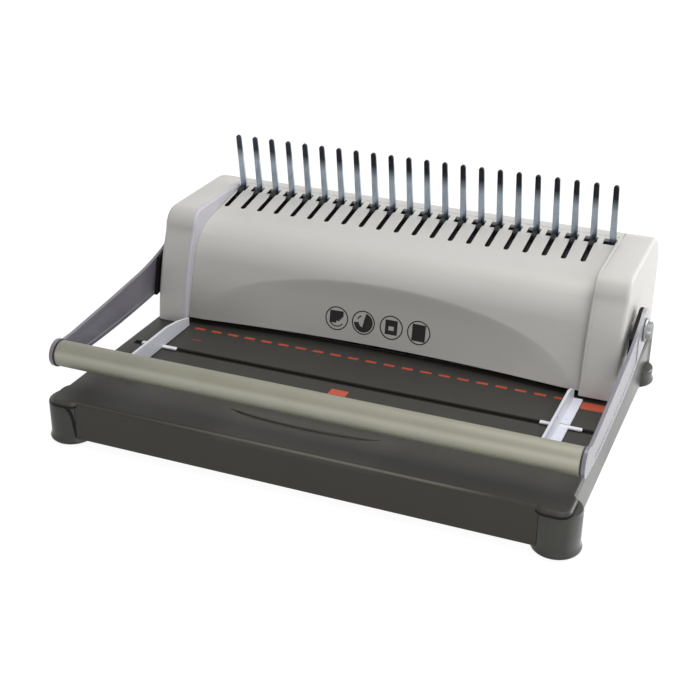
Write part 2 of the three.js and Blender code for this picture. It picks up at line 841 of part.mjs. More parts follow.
function frontY(z) {
  const path = [[cover_front_y, throat_top], ...cover_curve.crest.map(([y, cz]) => [y, cz + cover_curve.lift])];
  for (let i = 0; i + 1 < path.length; i += 1) {
    const [y0, z0] = path[i];
    const [y1, z1] = path[i + 1];
    if (z <= z1) return y0 + ((y1 - y0) * (z - z0)) / (z1 - z0);
  }
  return path[path.length - 1][0];
}

function coverSection(x) {
  const edge = scoopTop(x);
  const points = [];
  for (let i = 0; i < 5; i += 1) {
    const z = throat_top + ((edge - throat_top) * i) / 5;
    points.push([frontY(z) + scoopDepth(x, z), z]);
  }
  const crest = cover_curve.crest.map(([y, z]) => [y, z + cover_curve.lift]);
  const crest_mid_z = crest[3][1];
  for (let i = 0; i < 3; i += 1) {
    const z = edge + ((crest_mid_z - edge) * i) / 3;
    points.push([frontY(z), z]);
  }
  points.push(...crest.slice(3));
  points.push([cover_back_y, slopeZ(cover_back_y)]);
  return points;
}

function makeFrontCover() {
  const stations = 24;
  const loops = [];
  for (let i = 0; i <= stations; i += 1) {
    const x = -cover_half_width + (2 * cover_half_width * i) / stations;
    const outer = coverSection(x);
    const inner = inset(outer, housing_wall);
    const last = outer.length - 1;
    inner[last] = [outer[last][0], outer[last][1] - housing_wall];
    loops.push([...outer, ...inner.reverse()].map(([y, z]) => [x, y, z]));
  }
  const cover = loft(loops, true);
  const low = slopeZ(slot_front_y) - housing_wall - overrun - overrun;
  const high = slopeZ(cover_back_y) + overrun;
  const tools = [];
  const half = slot_width / 2;
  for (let j = 0; j < slot_count; j += 1) {
    const x = slotX(j) - comb_pitch / 2;
    const outline = [[x + half, slot_rear_y], [x - half, slot_rear_y]];
    const nose = arc(x, slot_front_y + half, half, Math.PI, 2 * Math.PI, 4);
    tools.push(prismZ([...outline, ...nose], low, high));
  }
  for (let i = 0; i < tine_count; i += 1) {
    const x = tineX(i);
    tools.push(box(
      x - tine_hole_left, x + tine_hole_right,
      tine_foot_y - tine_hole_front, tine_foot_y + tine_hole_back, low, high,
    ));
  }
  return cover.subtract(union(tools));
}

function makeRearCover() {
  const outline = [[rear_cover_front_y, cap_top_z], ...rearOutline()];
  const inner = inset(outline, housing_wall);
  inner[0] = [rear_cover_front_y, cap_top_z - housing_wall];
  const section = [...outline, ...inner.reverse()];
  let cover = prismX(section.reverse(), -cover_half_width, cover_half_width);
  const lip = prismX([
    [rear_cover_front_y, cap_top_z - seam],
    [rear_cover_front_y, cap_top_z - 3 * housing_wall],
    [rear_cover_front_y + housing_wall * 0.6, cap_top_z - 3 * housing_wall],
    [rear_cover_front_y + housing_wall * 0.6, cap_top_z - seam],
  ], -cover_half_width, cover_half_width);
  cover = cover.add(lip);
  const tools = [];
  for (let row = 0; row < vent_rows; row += 1) {
    for (let column = 0; column < vent_columns; column += 1) {
      const x = (column - (vent_columns - 1) / 2) * vent_column_pitch;
      const z = vent_low_z + row * vent_pitch;
      tools.push(box(
        x - vent_width / 2, x + vent_width / 2,
        rear_y - housing_wall - overrun, rear_y + overrun, z, z + vent_height,
      ));
    }
  }
  return cut(cover, tools);
}

function makeFrame(side) {
  const outline = [
    [frame_front_y, frame_low_z],
    [stop_back_y + seam * 2, frame_low_z],
    [stop_back_y + seam * 2, cap_bottom],
    [frame_back_y, cap_bottom],
    [frame_back_y, frame_knee_z],
    [frame_back_top_y, frame_back_top_z],
    [frame_front_top_y, frame_front_top_z],
    [frame_front_y, frame_knee_z],
  ];
  const x0 = side > 0 ? frame_inner_x : -frame_outer_x;
  const x1 = side > 0 ? frame_outer_x : -frame_inner_x;
  let plate = prismX(outline, x0, x1);
  const fx0 = side > 0 ? frame_inner_x - frame_flange : -frame_inner_x - seam;
  const fx1 = side > 0 ? frame_inner_x + seam : -frame_inner_x + frame_flange;
  plate = plate.add(box(
    fx0, fx1, frame_flange_front_y, frame_flange_back_y, cap_bottom, cap_bottom + frame_flange_thickness,
  ));
  const tools = [];
  const a = Math.min(x0, x1) - overrun;
  const b = Math.max(x0, x1) + overrun;
  tools.push(rod(bush_radius - bush_flange + seam, a, b, pivot_y, pivot_z));
  tools.push(box(
    a, b, punch_y - carrier_tab_width / 2 - seam, punch_y + carrier_tab_width / 2 + seam,
    carrier_bottom_z - seam, carrier_top_z + punch_travel + seam,
  ));
  const run = opener_travel + opener_tab_length + 2 * seam;
  const rear = opener_back_y - opener_tab_length / 2 + seam;
  const lower = (y) => slopeZ(y) - opener_drop - opener_thickness - seam;
  const upper = (y) => slopeZ(y) - opener_drop + seam;
  tools.push(prismX([
    [rear - run, lower(rear - run)],
    [rear, lower(rear)],
    [rear, upper(rear)],
    [rear - run, upper(rear - run)],
  ], a, b));
  return cut(plate, tools);
}

function makeBush(side) {
  const inner = frame_inner_x - bush_flange - seam;
  const outer = frame_inner_x + bush_thickness;
  const flange_x0 = side > 0 ? inner : -frame_inner_x + seam;
  const flange_x1 = side > 0 ? frame_inner_x - seam : -inner;
  const sleeve_x0 = side > 0 ? inner : -outer;
  const sleeve_x1 = side > 0 ? outer : -inner;
  const flange = rod(bush_radius, flange_x0, flange_x1, pivot_y, pivot_z);
  const sleeve = rod(bush_radius - bush_flange, sleeve_x0, sleeve_x1, pivot_y, pivot_z);
  const bore = rod(shaft_radius + running_gap / 5, -base_width, base_width, pivot_y, pivot_z);
  return flange.add(sleeve).subtract(bore);
}

// Tines and the plate they grow from, cut from one sheet and leaning forward.
function makeTines() {
  const lean = Math.atan(tine_lean);
  const along = (z) => (z - tine_foot_z) / Math.cos(lean);
  const top = along(comb_plate_top);
  const tip = along(tine_tip_z);
  const outline = [[-comb_plate_half_width, along(comb_plate_bottom)], [comb_plate_half_width, along(comb_plate_bottom)]];
  outline.push([comb_plate_half_width, top]);
  for (let i = tine_count - 1; i >= 0; i -= 1) {
    const x = tineX(i);
    const r = tine_tip_width / 2;
    outline.push([Math.min(x + tine_base_width / 2, comb_plate_half_width - seam), top]);
    outline.push(...arc(x, tip - r, r, 0, Math.PI, 5));
    outline.push([Math.max(x - tine_base_width / 2, -comb_plate_half_width + seam), top]);
  }
  outline.push([-comb_plate_half_width, top]);
  const geometry = new THREE.ExtrudeGeometry(shapeOf(outline), { depth: tine_thickness, bevelEnabled: false, steps: 1 });
  geometry.translate(0, 0, -tine_thickness / 2);
  const axes = new THREE.Matrix4().makeBasis(
    new THREE.Vector3(1, 0, 0),
    new THREE.Vector3(0, -Math.sin(lean), Math.cos(lean)),
    new THREE.Vector3(0, -Math.cos(lean), -Math.sin(lean)),
  );
  geometry.applyMatrix4(axes);
  geometry.translate(0, tine_foot_y, tine_foot_z);
  return solid(geometry);
}

function combBackY(z) {
  return tine_foot_y - (z - tine_foot_z) * tine_lean + tine_thickness / (2 * Math.cos(Math.atan(tine_lean)));
}

function makeRail() {
  const z1 = rail_top_z;
  const z0 = rail_top_z - rail_height;
  const y1 = combBackY(z1) + seam;
  const y0 = combBackY(z0) + seam;
  const section = [
    [y0, z0],
    [y0 + rail_depth, z0],
    [y0 + rail_depth, z0 + rail_wall],
    [y0 + rail_wall, z0 + rail_wall],
    [y1 + rail_wall, z1],
    [y1, z1],
  ];
  return prismX(section, -frame_inner_x + seam, frame_inner_x - seam);
}

function makeDie() {
  const body = box(-die_half_width, die_half_width, die_front_y, die_back_y, die_bottom_z, deck_height);
  const flange = box(
    -die_half_width - die_flange, die_half_width + die_flange,
    die_front_y - die_flange, die_back_y + die_flange, die_bottom_z, deck_bottom - seam,
  );
  const holes = [];
  for (let j = 0; j < slot_count; j += 1) {
    holes.push(punchHole(punchX(j), die_bottom_z - overrun, deck_height + overrun));
  }
  return body.add(flange).subtract(union(holes));
}

function punchHole(x, z0, z1) {
  const hx = punch_width / 2 + seam;
  const hy = punch_depth / 2 + seam;
  return box(x - hx, x + hx, punch_y - hy, punch_y + hy, z0, z1);
}

function makeGuideBlock() {
  const block = box(
    -frame_inner_x + seam, frame_inner_x - seam,
    guide_block_front_y, guide_block_back_y, throat_top, guide_block_top_z,
  );
  const holes = [];
  for (let j = 0; j < slot_count; j += 1) {
    holes.push(punchHole(punchX(j), throat_top - overrun, guide_block_top_z + overrun));
  }
  return block.subtract(union(holes));
}

function makePaperStop() {
  const half = frame_inner_x - seam;
  return box(-half, half, stop_front_y, stop_back_y, deck_height + seam, throat_top - seam);
}

function makeCarrier() {
  const bar = box(
    -carrier_half_width, carrier_half_width,
    punch_y - carrier_half_depth, punch_y + carrier_half_depth, carrier_bottom_z, carrier_top_z,
  );
  const tabs = box(
    -carrier_tab_reach, carrier_tab_reach,
    punch_y - carrier_tab_width / 2, punch_y + carrier_tab_width / 2, carrier_bottom_z, carrier_top_z,
  );
  const holes = [];
  for (let j = 0; j < slot_count; j += 1) {
    holes.push(punchHole(punchX(j), carrier_bottom_z - overrun, carrier_top_z + overrun));
  }
  return bar.add(tabs).subtract(union(holes));
}

function makePunches() {
  const pins = [];
  for (let j = 0; j < slot_count; j += 1) {
    const x = punchX(j);
    const hx = punch_width / 2;
    const hy = punch_depth / 2;
    const geometry = new THREE.BoxGeometry(punch_width, punch_depth, punch_top_z - punch_tip_z);
    geometry.translate(x, punch_y, (punch_top_z + punch_tip_z) / 2);
    const notch = prismX([
      [punch_y - hy - overrun, punch_tip_z - overrun],
      [punch_y + hy + overrun, punch_tip_z - overrun],
      [punch_y + hy + overrun, punch_tip_z],
      [punch_y, punch_tip_z + hy / 2],
      [punch_y - hy - overrun, punch_tip_z],
    ], x - hx - overrun, x + hx + overrun);
    pins.push(solid(geometry).subtract(notch));
  }
  const keeper = box(
    -keeper_half_width, keeper_half_width,
    punch_y - keeper_half_depth, punch_y + keeper_half_depth, punch_top_z - seam, punch_top_z + keeper_thickness,
  );
  return union([keeper, ...pins]);
}

// Plate under the sloping top, with one hook in every slot.
function makeOpener() {
  const under = (y) => slopeZ(y) - opener_drop;
  const plate = prismX([
    [opener_front_y, under(opener_front_y) - opener_thickness],
    [opener_back_y, under(opener_back_y) - opener_thickness],
    [opener_back_y, under(opener_back_y)],
    [opener_front_y, under(opener_front_y)],
  ], -opener_half_width, opener_half_width);
  const tab_back = opener_back_y - opener_tab_length / 2;
  const tab_front = tab_back - opener_tab_length;
  const tabs = prismX([
    [tab_front, under(tab_front) - opener_thickness],
    [tab_back, under(tab_back) - opener_thickness],
    [tab_back, under(tab_back)],
    [tab_front, under(tab_front)],
  ], -opener_tab_reach, opener_tab_reach);
  const hooks = [];
  for (let j = 0; j < slot_count; j += 1) {
    const x = slotX(j) - comb_pitch / 2;
    hooks.push(prismX([
      [hook_front_y, under(hook_front_y) - seam],
      [hook_back_y, under(hook_back_y) - seam],
      [hook_back_y, slopeZ(hook_back_y) + hook_rise - hook_lip_height],
      [hook_back_y + hook_lip, slopeZ(hook_back_y) + hook_rise - hook_lip_height * 0.7],
      [hook_back_y + hook_lip, slopeZ(hook_back_y) + hook_rise],
      [hook_front_y + hook_lip * 0.6, slopeZ(hook_front_y) + hook_rise],
      [hook_front_y, slopeZ(hook_front_y) + hook_rise - hook_lip_height * 0.7],
    ], x - hook_thickness / 2, x + hook_thickness / 2));
  }
  return union([plate, tabs, ...hooks]);
}

function makeTube() {
  const outer = rod(tube_radius, -tube_reach, tube_reach, tube_y, tube_z, 32);
  const inner = rod(tube_radius - tube_wall, -tube_reach - overrun, tube_reach + overrun, tube_y, tube_z, 32);
  return outer.subtract(inner);
}

function armOutline(shrink) {
  const tip = arc(tube_y, tube_z, arm_tip_radius - shrink, (3 / 2) * Math.PI - 0.15, 0.8, 9);
  const boss = arc(pivot_y, pivot_z, arm_boss_radius - shrink, (2 / 3) * Math.PI, -Math.PI / 2 + 0.23, 10);
  const place = ([along, height]) => [tube_y + along * handle_reach, height * pivot_z];
  const upper = arm_upper_shares.map(place).map(([y, z]) => [y, z - shrink]);
  const lower = arm_lower_shares.map(place).map(([y, z]) => [y, z + shrink]);
  return [...tip, ...upper, ...boss, ...lower].reverse();
}

function makeArm(side) {
  const inner = side > 0 ? arm_inner_x : -arm_inner_x - arm_thickness;
  let plate = prismX(armOutline(0), inner, inner + arm_thickness, arm_bevel);
  const pocket = armOutline(arm_rim);
  const bar_only = box(
    -base_width, base_width, tube_y + arm_tip_radius + arm_rim, pivot_y - arm_boss_radius - arm_rim / 2,
    0, base_width,
  );
  const recess_in = prismX(pocket, inner - overrun, inner + arm_pocket_depth).intersect(bar_only);
  const recess_out = prismX(pocket, inner + arm_thickness - arm_pocket_depth, inner + arm_thickness + overrun)
    .intersect(bar_only);
  plate = plate.subtract(recess_in).subtract(recess_out);
  const x_spigot = side > 0 ? inner - arm_spigot : inner + arm_thickness - seam;
  const spigot = rod(
    tube_radius - tube_wall - seam, x_spigot, x_spigot + arm_spigot + seam, tube_y, tube_z,
  );
  const spacer_x0 = side > 0 ? housing_half_width + 2 * seam : inner + arm_thickness - seam;
  const spacer_x1 = side > 0 ? inner + seam : -housing_half_width - 2 * seam;
  const spacer = rod(spacer_radius, spacer_x0, spacer_x1, pivot_y, pivot_z);
  const bore = rod(shaft_radius + seam / 2, -base_width, base_width, pivot_y, pivot_z);
  return union([plate, spigot, spacer]).subtract(bore);
}

function makeBolt(side) {
  const start = arm_inner_x + arm_thickness + seam;
  const x = (v) => side * v;
  const flange = rod(
    bolt_flange_radius, Math.min(x(start), x(start + bolt_flange)),
    Math.max(x(start), x(start + bolt_flange)), pivot_y, pivot_z,
  );
  const head_end = start + bolt_flange + bolt_head;
  const head = rod(
    bolt_head_radius, Math.min(x(start + seam), x(head_end)),
    Math.max(x(start + seam), x(head_end)), pivot_y, pivot_z, 6,
  );
  return flange.add(head);
}

function makeShaft() {
  return rod(shaft_radius, -shaft_reach, shaft_reach, pivot_y, pivot_z);
}

function makeLever(side) {
  const x0 = side * lever_x - lever_thickness / 2;
  const x1 = side * lever_x + lever_thickness / 2;
  const hub = rod(lever_hub_radius, x0, x1, pivot_y, pivot_z);
  const nose = rod(lever_nose_radius, x0, x1, lever_nose_y, lever_nose_z, 24);
  const web = prismX([
    [lever_nose_y, lever_nose_z - lever_nose_radius * 0.5],
    [pivot_y, pivot_z - lever_hub_radius * 0.8],
    [pivot_y, pivot_z + lever_hub_radius],
    [lever_nose_y, lever_nose_z + lever_nose_radius],
  ], x0, x1);
  const bore = rod(shaft_radius + seam / 2, x0 - overrun, x1 + overrun, pivot_y, pivot_z);
  return union([hub, nose, web]).subtract(bore);
}

function makeGuide(side) {
  const z0 = deck_height + guide_lift;
  const z1 = deck_height + guide_height;
  const r = guide_corner;
  const outline = [
    [guide_front_y, z0],
    [guide_back_y, z0],
    [guide_back_y, z1 - guide_taper_drop],
    [guide_back_y - guide_taper_length, z1],
    ...arc(guide_front_y + r, z1 - r, r, Math.PI / 2, Math.PI, 4),
  ];
  const x0 = side > 0 ? guide_inner_x : -guide_inner_x - guide_wall;
  const wall = prismX(outline, x0, x0 + guide_wall);
  const fx0 = side > 0 ? guide_inner_x + guide_wall - seam : -guide_inner_x - guide_wall - guide_flange;
  const flange = box(
    fx0, fx0 + guide_flange + seam, guide_front_y, guide_back_y, z0, z0 + guide_flange_thickness,
  );
  const notch = box(
    -base_width, base_width,
    groove_y - slider_half_depth - seam, groove_y + slider_half_depth + seam,
    deck_height, deck_height + guide_lift + slider_height + seam,
  );
  return wall.add(flange).subtract(notch);
}

function makeSlider(side) {
  const cx = side * slider_center_x;
  const z0 = deck_height + guide_lift;
  const bar = box(
    cx - slider_half_length, cx + slider_half_length,
    groove_y - slider_half_depth, groove_y + slider_half_depth, z0, z0 + slider_height,
  );
  const shoe_top = deck_bottom - guide_lift;
  const stem = box(
    cx - slider_stem_half_length, cx + slider_stem_half_length,
    groove_y - slider_stem_half_depth, groove_y + slider_stem_half_depth, shoe_top - seam, z0 + seam,
  );
  const shoe = box(
    cx - slider_shoe_half_length, cx + slider_shoe_half_length,
    groove_y - slider_shoe_half_depth, groove_y + slider_shoe_half_depth,
    shoe_top - slider_shoe_thickness, shoe_top,
  );
  return union([bar, stem, shoe]);
}

function add(group, name, body, key) {
  const mesh = body.getMesh();
  const geometry = new THREE.BufferGeometry();
  const positions = new Float32Array(mesh.vertProperties.length);
  positions.set(mesh.vertProperties);
  geometry.setAttribute('position', new THREE.BufferAttribute(positions, 3));
  geometry.setIndex(new THREE.BufferAttribute(Uint32Array.from(mesh.triVerts), 1));
  geometry.computeVertexNormals();
  const item = new THREE.Mesh(geometry, finish(key));
  item.name = name;
  group.add(item);
}

const group = new THREE.Group();
group.name = 'comb_binder';
add(group, 'base_shell', makeBase(), 'base');
add(group, 'base_floor', makeFloor(), 'dark_steel');
for (const [place, sx] of [['left', -1], ['middle', 0], ['right', 1]]) {
  add(group, `floor_screw_front_${place}`, floorScrew(sx, -1), 'steel');
  add(group, `floor_screw_rear_${place}`, floorScrew(sx, 1), 'steel');
}
const corners = [['front_left', -1, -1], ['front_right', 1, -1], ['rear_left', -1, 1], ['rear_right', 1, 1]];
for (const [place, sx, sy] of corners) {
  add(group, `foot_${place}`, makeFoot(sx, sy), 'foot');
  add(group, `pad_${place}`, post(pad_radius, sx * foot_x, footY(sy), 0, pad_thickness, 24), 'pad');
}
add(group, 'chip_tray', makeTray(), 'tray');
add(group, 'chip_tray_panel', makeTrayPanel(), 'base');
add(group, 'front_cover', makeFrontCover(), 'housing');
add(group, 'rear_cover', makeRearCover(), 'housing');
add(group, 'end_cap_left', makeCap(-1), 'housing');
add(group, 'end_cap_right', makeCap(1), 'housing');
add(group, 'frame_left', makeFrame(-1), 'dark_steel');
add(group, 'frame_right', makeFrame(1), 'dark_steel');
add(group, 'bush_left', makeBush(-1), 'tray');
add(group, 'bush_right', makeBush(1), 'tray');
add(group, 'tine_comb', makeTines(), 'steel');
add(group, 'tine_rail', makeRail(), 'dark_steel');
add(group, 'die_plate', makeDie(), 'tool_steel');
add(group, 'punch_guide', makeGuideBlock(), 'dark_steel');
add(group, 'paper_stop', makePaperStop(), 'dark_steel');
add(group, 'punch_carrier', makeCarrier(), 'dark_steel');
add(group, 'punches', makePunches(), 'tool_steel');
add(group, 'comb_opener', makeOpener(), 'steel');
add(group, 'handle_tube', makeTube(), 'tube');
add(group, 'handle_arm_left', makeArm(-1), 'arm');
add(group, 'handle_arm_right', makeArm(1), 'arm');
add(group, 'handle_shaft', makeShaft(), 'steel');
add(group, 'pivot_bolt_left', makeBolt(-1), 'steel');
add(group, 'pivot_bolt_right', makeBolt(1), 'steel');
add(group, 'press_lever_left', makeLever(-1), 'dark_steel');
add(group, 'press_lever_right', makeLever(1), 'dark_steel');
add(group, 'paper_guide_left', makeGuide(-1), 'guide');
add(group, 'paper_guide_right', makeGuide(1), 'guide');
add(group, 'guide_slider_left', makeSlider(-1), 'guide');
add(group, 'guide_slider_right', makeSlider(1), 'guide');

export default group;
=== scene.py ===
from math import atan, atan2, cos, dist, hypot, pi, radians, sin, sqrt, tan

import bmesh
import bpy
from mathutils import Matrix, Vector


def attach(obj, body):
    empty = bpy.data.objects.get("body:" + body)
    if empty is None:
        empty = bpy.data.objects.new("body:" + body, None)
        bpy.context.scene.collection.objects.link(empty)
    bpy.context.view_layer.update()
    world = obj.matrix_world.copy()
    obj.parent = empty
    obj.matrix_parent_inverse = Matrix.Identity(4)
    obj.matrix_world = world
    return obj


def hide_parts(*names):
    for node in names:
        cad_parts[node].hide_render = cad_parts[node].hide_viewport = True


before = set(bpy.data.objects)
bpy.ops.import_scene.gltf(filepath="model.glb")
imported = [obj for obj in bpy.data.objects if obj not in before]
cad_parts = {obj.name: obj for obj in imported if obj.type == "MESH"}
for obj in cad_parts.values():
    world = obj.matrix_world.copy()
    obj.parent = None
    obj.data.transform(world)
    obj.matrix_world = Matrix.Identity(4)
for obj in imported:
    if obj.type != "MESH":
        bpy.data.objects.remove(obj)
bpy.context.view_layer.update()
scene = bpy.context.scene

MM = 0.001
X, Y, Z = 0, 1, 2

# The radius that stands for a turned shape's axis
centre = 0.01

# Sizes and places that several pieces share, as in the part's source, in millimetres
pitch = 14.2875
slots = 21
tines = slots + 1
row_half = slots * pitch / 2
panel_gap = 0.4
frame_inner = row_half + 3.28
cover_half = frame_inner + 2.5 + panel_gap
cap_inner = cover_half + panel_gap
housing_half = cap_inner + 22.4
housing_wall = 2.5
half_width = housing_half + 3.2
half_depth = 139.0
rear_y = 138.0
deck_z = 35.0
groove_y = -40.0
throat_top = 39.6
top_z = 119.0
cap_bottom = 35.3
cover_front = 6.0
cover_back = 106.0
arm_inner = housing_half + 6.2
arm_thick = 2.6

side_word = {-1: "left", 1: "right"}
row_word = {-1: "front", 1: "rear"}

# Places seen from the side, as (y, z)
pivot = (47.0, 75.0)
tube = (-119.5, 60.0)
tine_foot = (99.5, 116.1)
slot_front = (66.5, 110.6)
slope = atan2(tine_foot[1] - slot_front[1], tine_foot[0] - slot_front[0])


def slope_z(y):
    """The height of the cover's sloping top."""
    return tine_foot[1] + (y - tine_foot[0]) * tan(slope)


def tine_x(i):
    return (i - (tines - 1) / 2) * pitch


# Meshes
def new_object(name, bm, smooth_angle=None):
    mesh = bpy.data.meshes.new(name)
    bmesh.ops.recalc_face_normals(bm, faces=bm.faces)
    bm.to_mesh(mesh)
    bm.free()
    obj = bpy.data.objects.new(name, mesh)
    scene.collection.objects.link(obj)
    if smooth_angle is not None:
        soften(obj, smooth_angle)
    return obj


def soften(obj, degrees=35):
    """Shades the mesh smooth, apart from edges sharper than the angle."""
    mesh = obj.data
    mesh.polygons.foreach_set("use_smooth", [True] * len(mesh.polygons))
    mesh.set_sharp_from_angle(angle=radians(degrees))
    mesh.update()


def apply_modifiers(obj):
    bpy.context.view_layer.update()
    depsgraph = bpy.context.evaluated_depsgraph_get()
    mesh = bpy.data.meshes.new_from_object(obj.evaluated_get(depsgraph))
    old = obj.data
    obj.modifiers.clear()
    obj.data = mesh
    bpy.data.meshes.remove(old)


def combine(obj, tools, operation="DIFFERENCE"):
    """Cuts the closed tools out of obj, or joins them to it, and removes them."""
    for tool in tools:
        mod = obj.modifiers.new("combine", "BOOLEAN")
        mod.operation = operation
        mod.solver = "EXACT"
        mod.object = tool
    apply_modifiers(obj)
    for tool in tools:
        data = tool.data
        bpy.data.objects.remove(tool)
        bpy.data.meshes.remove(data)


def weigh_normals(obj):
    """Lets the large faces set the normals, so that flats stay flat."""
    mod = obj.modifiers.new("normals", "WEIGHTED_NORMAL")
    mod.keep_sharp = True
    apply_modifiers(obj)


def ease(obj, width, segments=2, degrees=35, smooth=40):
    """Rounds the hard edges and shades the rest smooth."""
    mod = obj.modifiers.new("ease", "BEVEL")
    mod.width = width * MM
    mod.segments = segments
    mod.limit_method = "ANGLE"
    mod.angle_limit = radians(degrees)
    mod.miter_outer = "MITER_ARC"
    apply_modifiers(obj)
    soften(obj, smooth)
    weigh_normals(obj)


def copy_of(node, name):
    """A welded copy of a CAD node's solid, in the same place."""
    bm = bmesh.new()
    bm.from_mesh(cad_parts[node].data)
    bmesh.ops.remove_doubles(bm, verts=bm.verts, dist=2e-6)
    bmesh.ops.dissolve_limit(bm, angle_limit=radians(0.4), verts=bm.verts, edges=bm.edges)
    return new_object(name, bm)


def merged(parts):
    """One bmesh from several closed ones, which it frees."""
    whole = bmesh.new()
    for part in parts:
        mesh = bpy.data.meshes.new("part")
        bmesh.ops.recalc_face_normals(part, faces=part.faces)
        part.to_mesh(mesh)
        part.free()
        whole.from_mesh(mesh)
        bpy.data.meshes.remove(mesh)
    return whole


def box_bm(x0, x1, y0, y1, z0, z1):
    low, high = (x0, y0, z0), (x1, y1, z1)
    bm = bmesh.new()
    bmesh.ops.create_cube(bm, size=1.0)
    for v in bm.verts:
        v.co = Vector([MM * (low[i] if v.co[i] < 0 else high[i]) for i in (X, Y, Z)])
    return bm


def join_rings(bm, a, b):
    """A band of faces between two rings of vertices."""
    for k in range(len(a)):
        n = (k + 1) % len(a)
        bm.faces.new((a[k], a[n], b[n], b[k]))


def skin(bm, loops):
    """Skins loops of equal length, in millimetres, and returns their rings of vertices."""
    rings = [[bm.verts.new(Vector(p) * MM) for p in loop] for loop in loops]
    for a, b in zip(rings, rings[1:]):
        join_rings(bm, a, b)
    return rings


def loft_bm(loops):
    """A closed body through loops of equal length."""
    bm = bmesh.new()
    rings = skin(bm, loops)
    bm.faces.new(rings[0])
    bm.faces.new(rings[-1])
    return bm


def prism_x(points, x0, x1):
    return loft_bm([[(x, y, z) for y, z in points] for x in (x0, x1)])


def prism_z(points, z0, z1):
    return loft_bm([[(x, y, z) for x, y in points] for z in (z0, z1)])


def arc(cx, cy, radius, start, end, steps):
    """Points on a circle from one angle to another, both included."""
    angles = [start + (end - start) * i / steps for i in range(steps + 1)]
    return [(cx + radius * cos(a), cy + radius * sin(a)) for a in angles]


def circle(cx, cy, radius, sides):
    angles = [2 * pi * k / sides for k in range(sides)]
    return [(cx + radius * cos(a), cy + radius * sin(a)) for a in angles]


def fillet(radius, steps):
    """Points on a rounded edge, as distances from its two faces: one grows, the other falls."""
    angles = [i / steps * pi / 2 for i in range(steps + 1)]
    return [(radius * (1 - cos(a)), radius * (1 - sin(a))) for a in angles]


def lathe_x(profile, y, z, sides):
    """Turns (x, radius) points about an axis along X."""
    return loft_bm([[(x, *p) for p in circle(y, z, r, sides)] for x, r in profile])


def lathe_z(profile, x, y, sides):
    """Turns (z, radius) points about an axis along Z."""
    return loft_bm([[(*p, z) for p in circle(x, y, r, sides)] for z, r in profile])


def turned(name, side, profile, axis, sides=64, smooth=35):
    """A turned piece of one side; its profile is written for the right side."""
    profile = [(side * x, r) for x, r in profile]
    return new_object(f"{name}_{side_word[side]}", lathe_x(profile, *axis, sides), smooth)


def smooth_run(points, steps=4):
    """A Catmull-Rom curve through the points."""
    run = [points[0]] + points + [points[-1]]
    out = []
    for i in range(len(points) - 1):
        for t in (k / steps for k in range(steps)):
            out.append(tuple(
                0.5 * (
                    2 * b + (c - a) * t + (2 * a - 5 * b + 4 * c - d) * t * t
                    + (3 * b - a - 3 * c + d) * t ** 3
                ) for a, b, c, d in zip(*run[i:i + 4])
            ))
    return out + [points[-1]]


def unit(y, z):
    length = hypot(y, z)
    return y / length, z / length


def inset(points, distance, only=None):
    """Moves an open outline inwards; its two ends keep their height."""
    out = []
    last = len(points) - 1
    for i, (y, z) in enumerate(points):
        if only and not only(y, z):
            out.append((y, z))
        elif i in (0, last):
            out.append((y + (distance if i == 0 else -distance), z))
        else:
            ay, az = unit(y - points[i - 1][0], z - points[i - 1][1])
            by, bz = unit(points[i + 1][0] - y, points[i + 1][1] - z)
            my, mz = unit(ay + by, az + bz)
            share = 1 / max(my * by + mz * bz, 0.5)
            out.append((y + mz * distance * share, z - my * distance * share))
    return out


# Camera, solved on the photograph: angles in degrees, lens and sensor in millimetres, place in metres
camera_yaw = 22.25
camera_pitch = 26.51
camera_roll = 0.45
camera_lens = 65.98
camera_sensor = 36
camera_place = (0.304, -0.782, 0.462)


def make_camera():
    yaw, tilt, roll = (radians(a) for a in (camera_yaw, camera_pitch, camera_roll))
    right = Vector((cos(yaw), sin(yaw), 0))
    forward = Vector((-sin(yaw) * cos(tilt), cos(yaw) * cos(tilt), -sin(tilt)))
    up = right.cross(forward)
    cam_x = cos(roll) * right + sin(roll) * up
    cam_y = -sin(roll) * right + cos(roll) * up
    turn = Matrix((cam_x, cam_y, -forward)).transposed().to_4x4()
    data = bpy.data.cameras.new("camera")
    data.sensor_width = camera_sensor
    data.lens = camera_lens
    data.clip_start = 0.05
    data.clip_end = 60
    cam = bpy.data.objects.new("camera", data)
    cam.matrix_world = Matrix.Translation(camera_place) @ turn
    scene.collection.objects.link(cam)
    scene.camera = cam


# Stage and light, in metres and watts
world_strength = 0.28
floor_size = 3.0
floor_drop = 0.0002
floor_glow = 1.14
floor_glow_share = 0.82


def add_node(tree, kind, sockets, **settings):
    """A node with its settings, and with its input sockets set or linked."""
    made = tree.nodes.new(kind)
    for key, value in settings.items():
        setattr(made, key, value)
    for key, value in sockets.items():
        if isinstance(value, bpy.types.NodeSocket):
            tree.links.new(value, made.inputs[key])
        else:
            made.inputs[key].default_value = value
    return made


def shown_ray(tree):
    """1 for what the camera, a mirror or a glass sees of the stage, 0 for its light."""
    path = add_node(tree, "ShaderNodeLightPath", {})
    seen = path.outputs["Is Camera Ray"]
    for kind in ("Is Glossy Ray", "Is Transmission Ray"):
        either = add_node(tree, "ShaderNodeMath", {0: seen, 1: path.outputs[kind]}, operation="MAXIMUM")
        seen = either.outputs[0]
    return seen


def join_shaders(tree, share, lit, shown, output):
    """Mixes what lights the object with what is shown, by the share of the second."""
    mix = add_node(tree, "ShaderNodeMixShader", {"Fac": share, 1: lit.outputs[0], 2: shown.outputs[0]})
    add_node(tree, output, {"Surface": mix.outputs[0]})


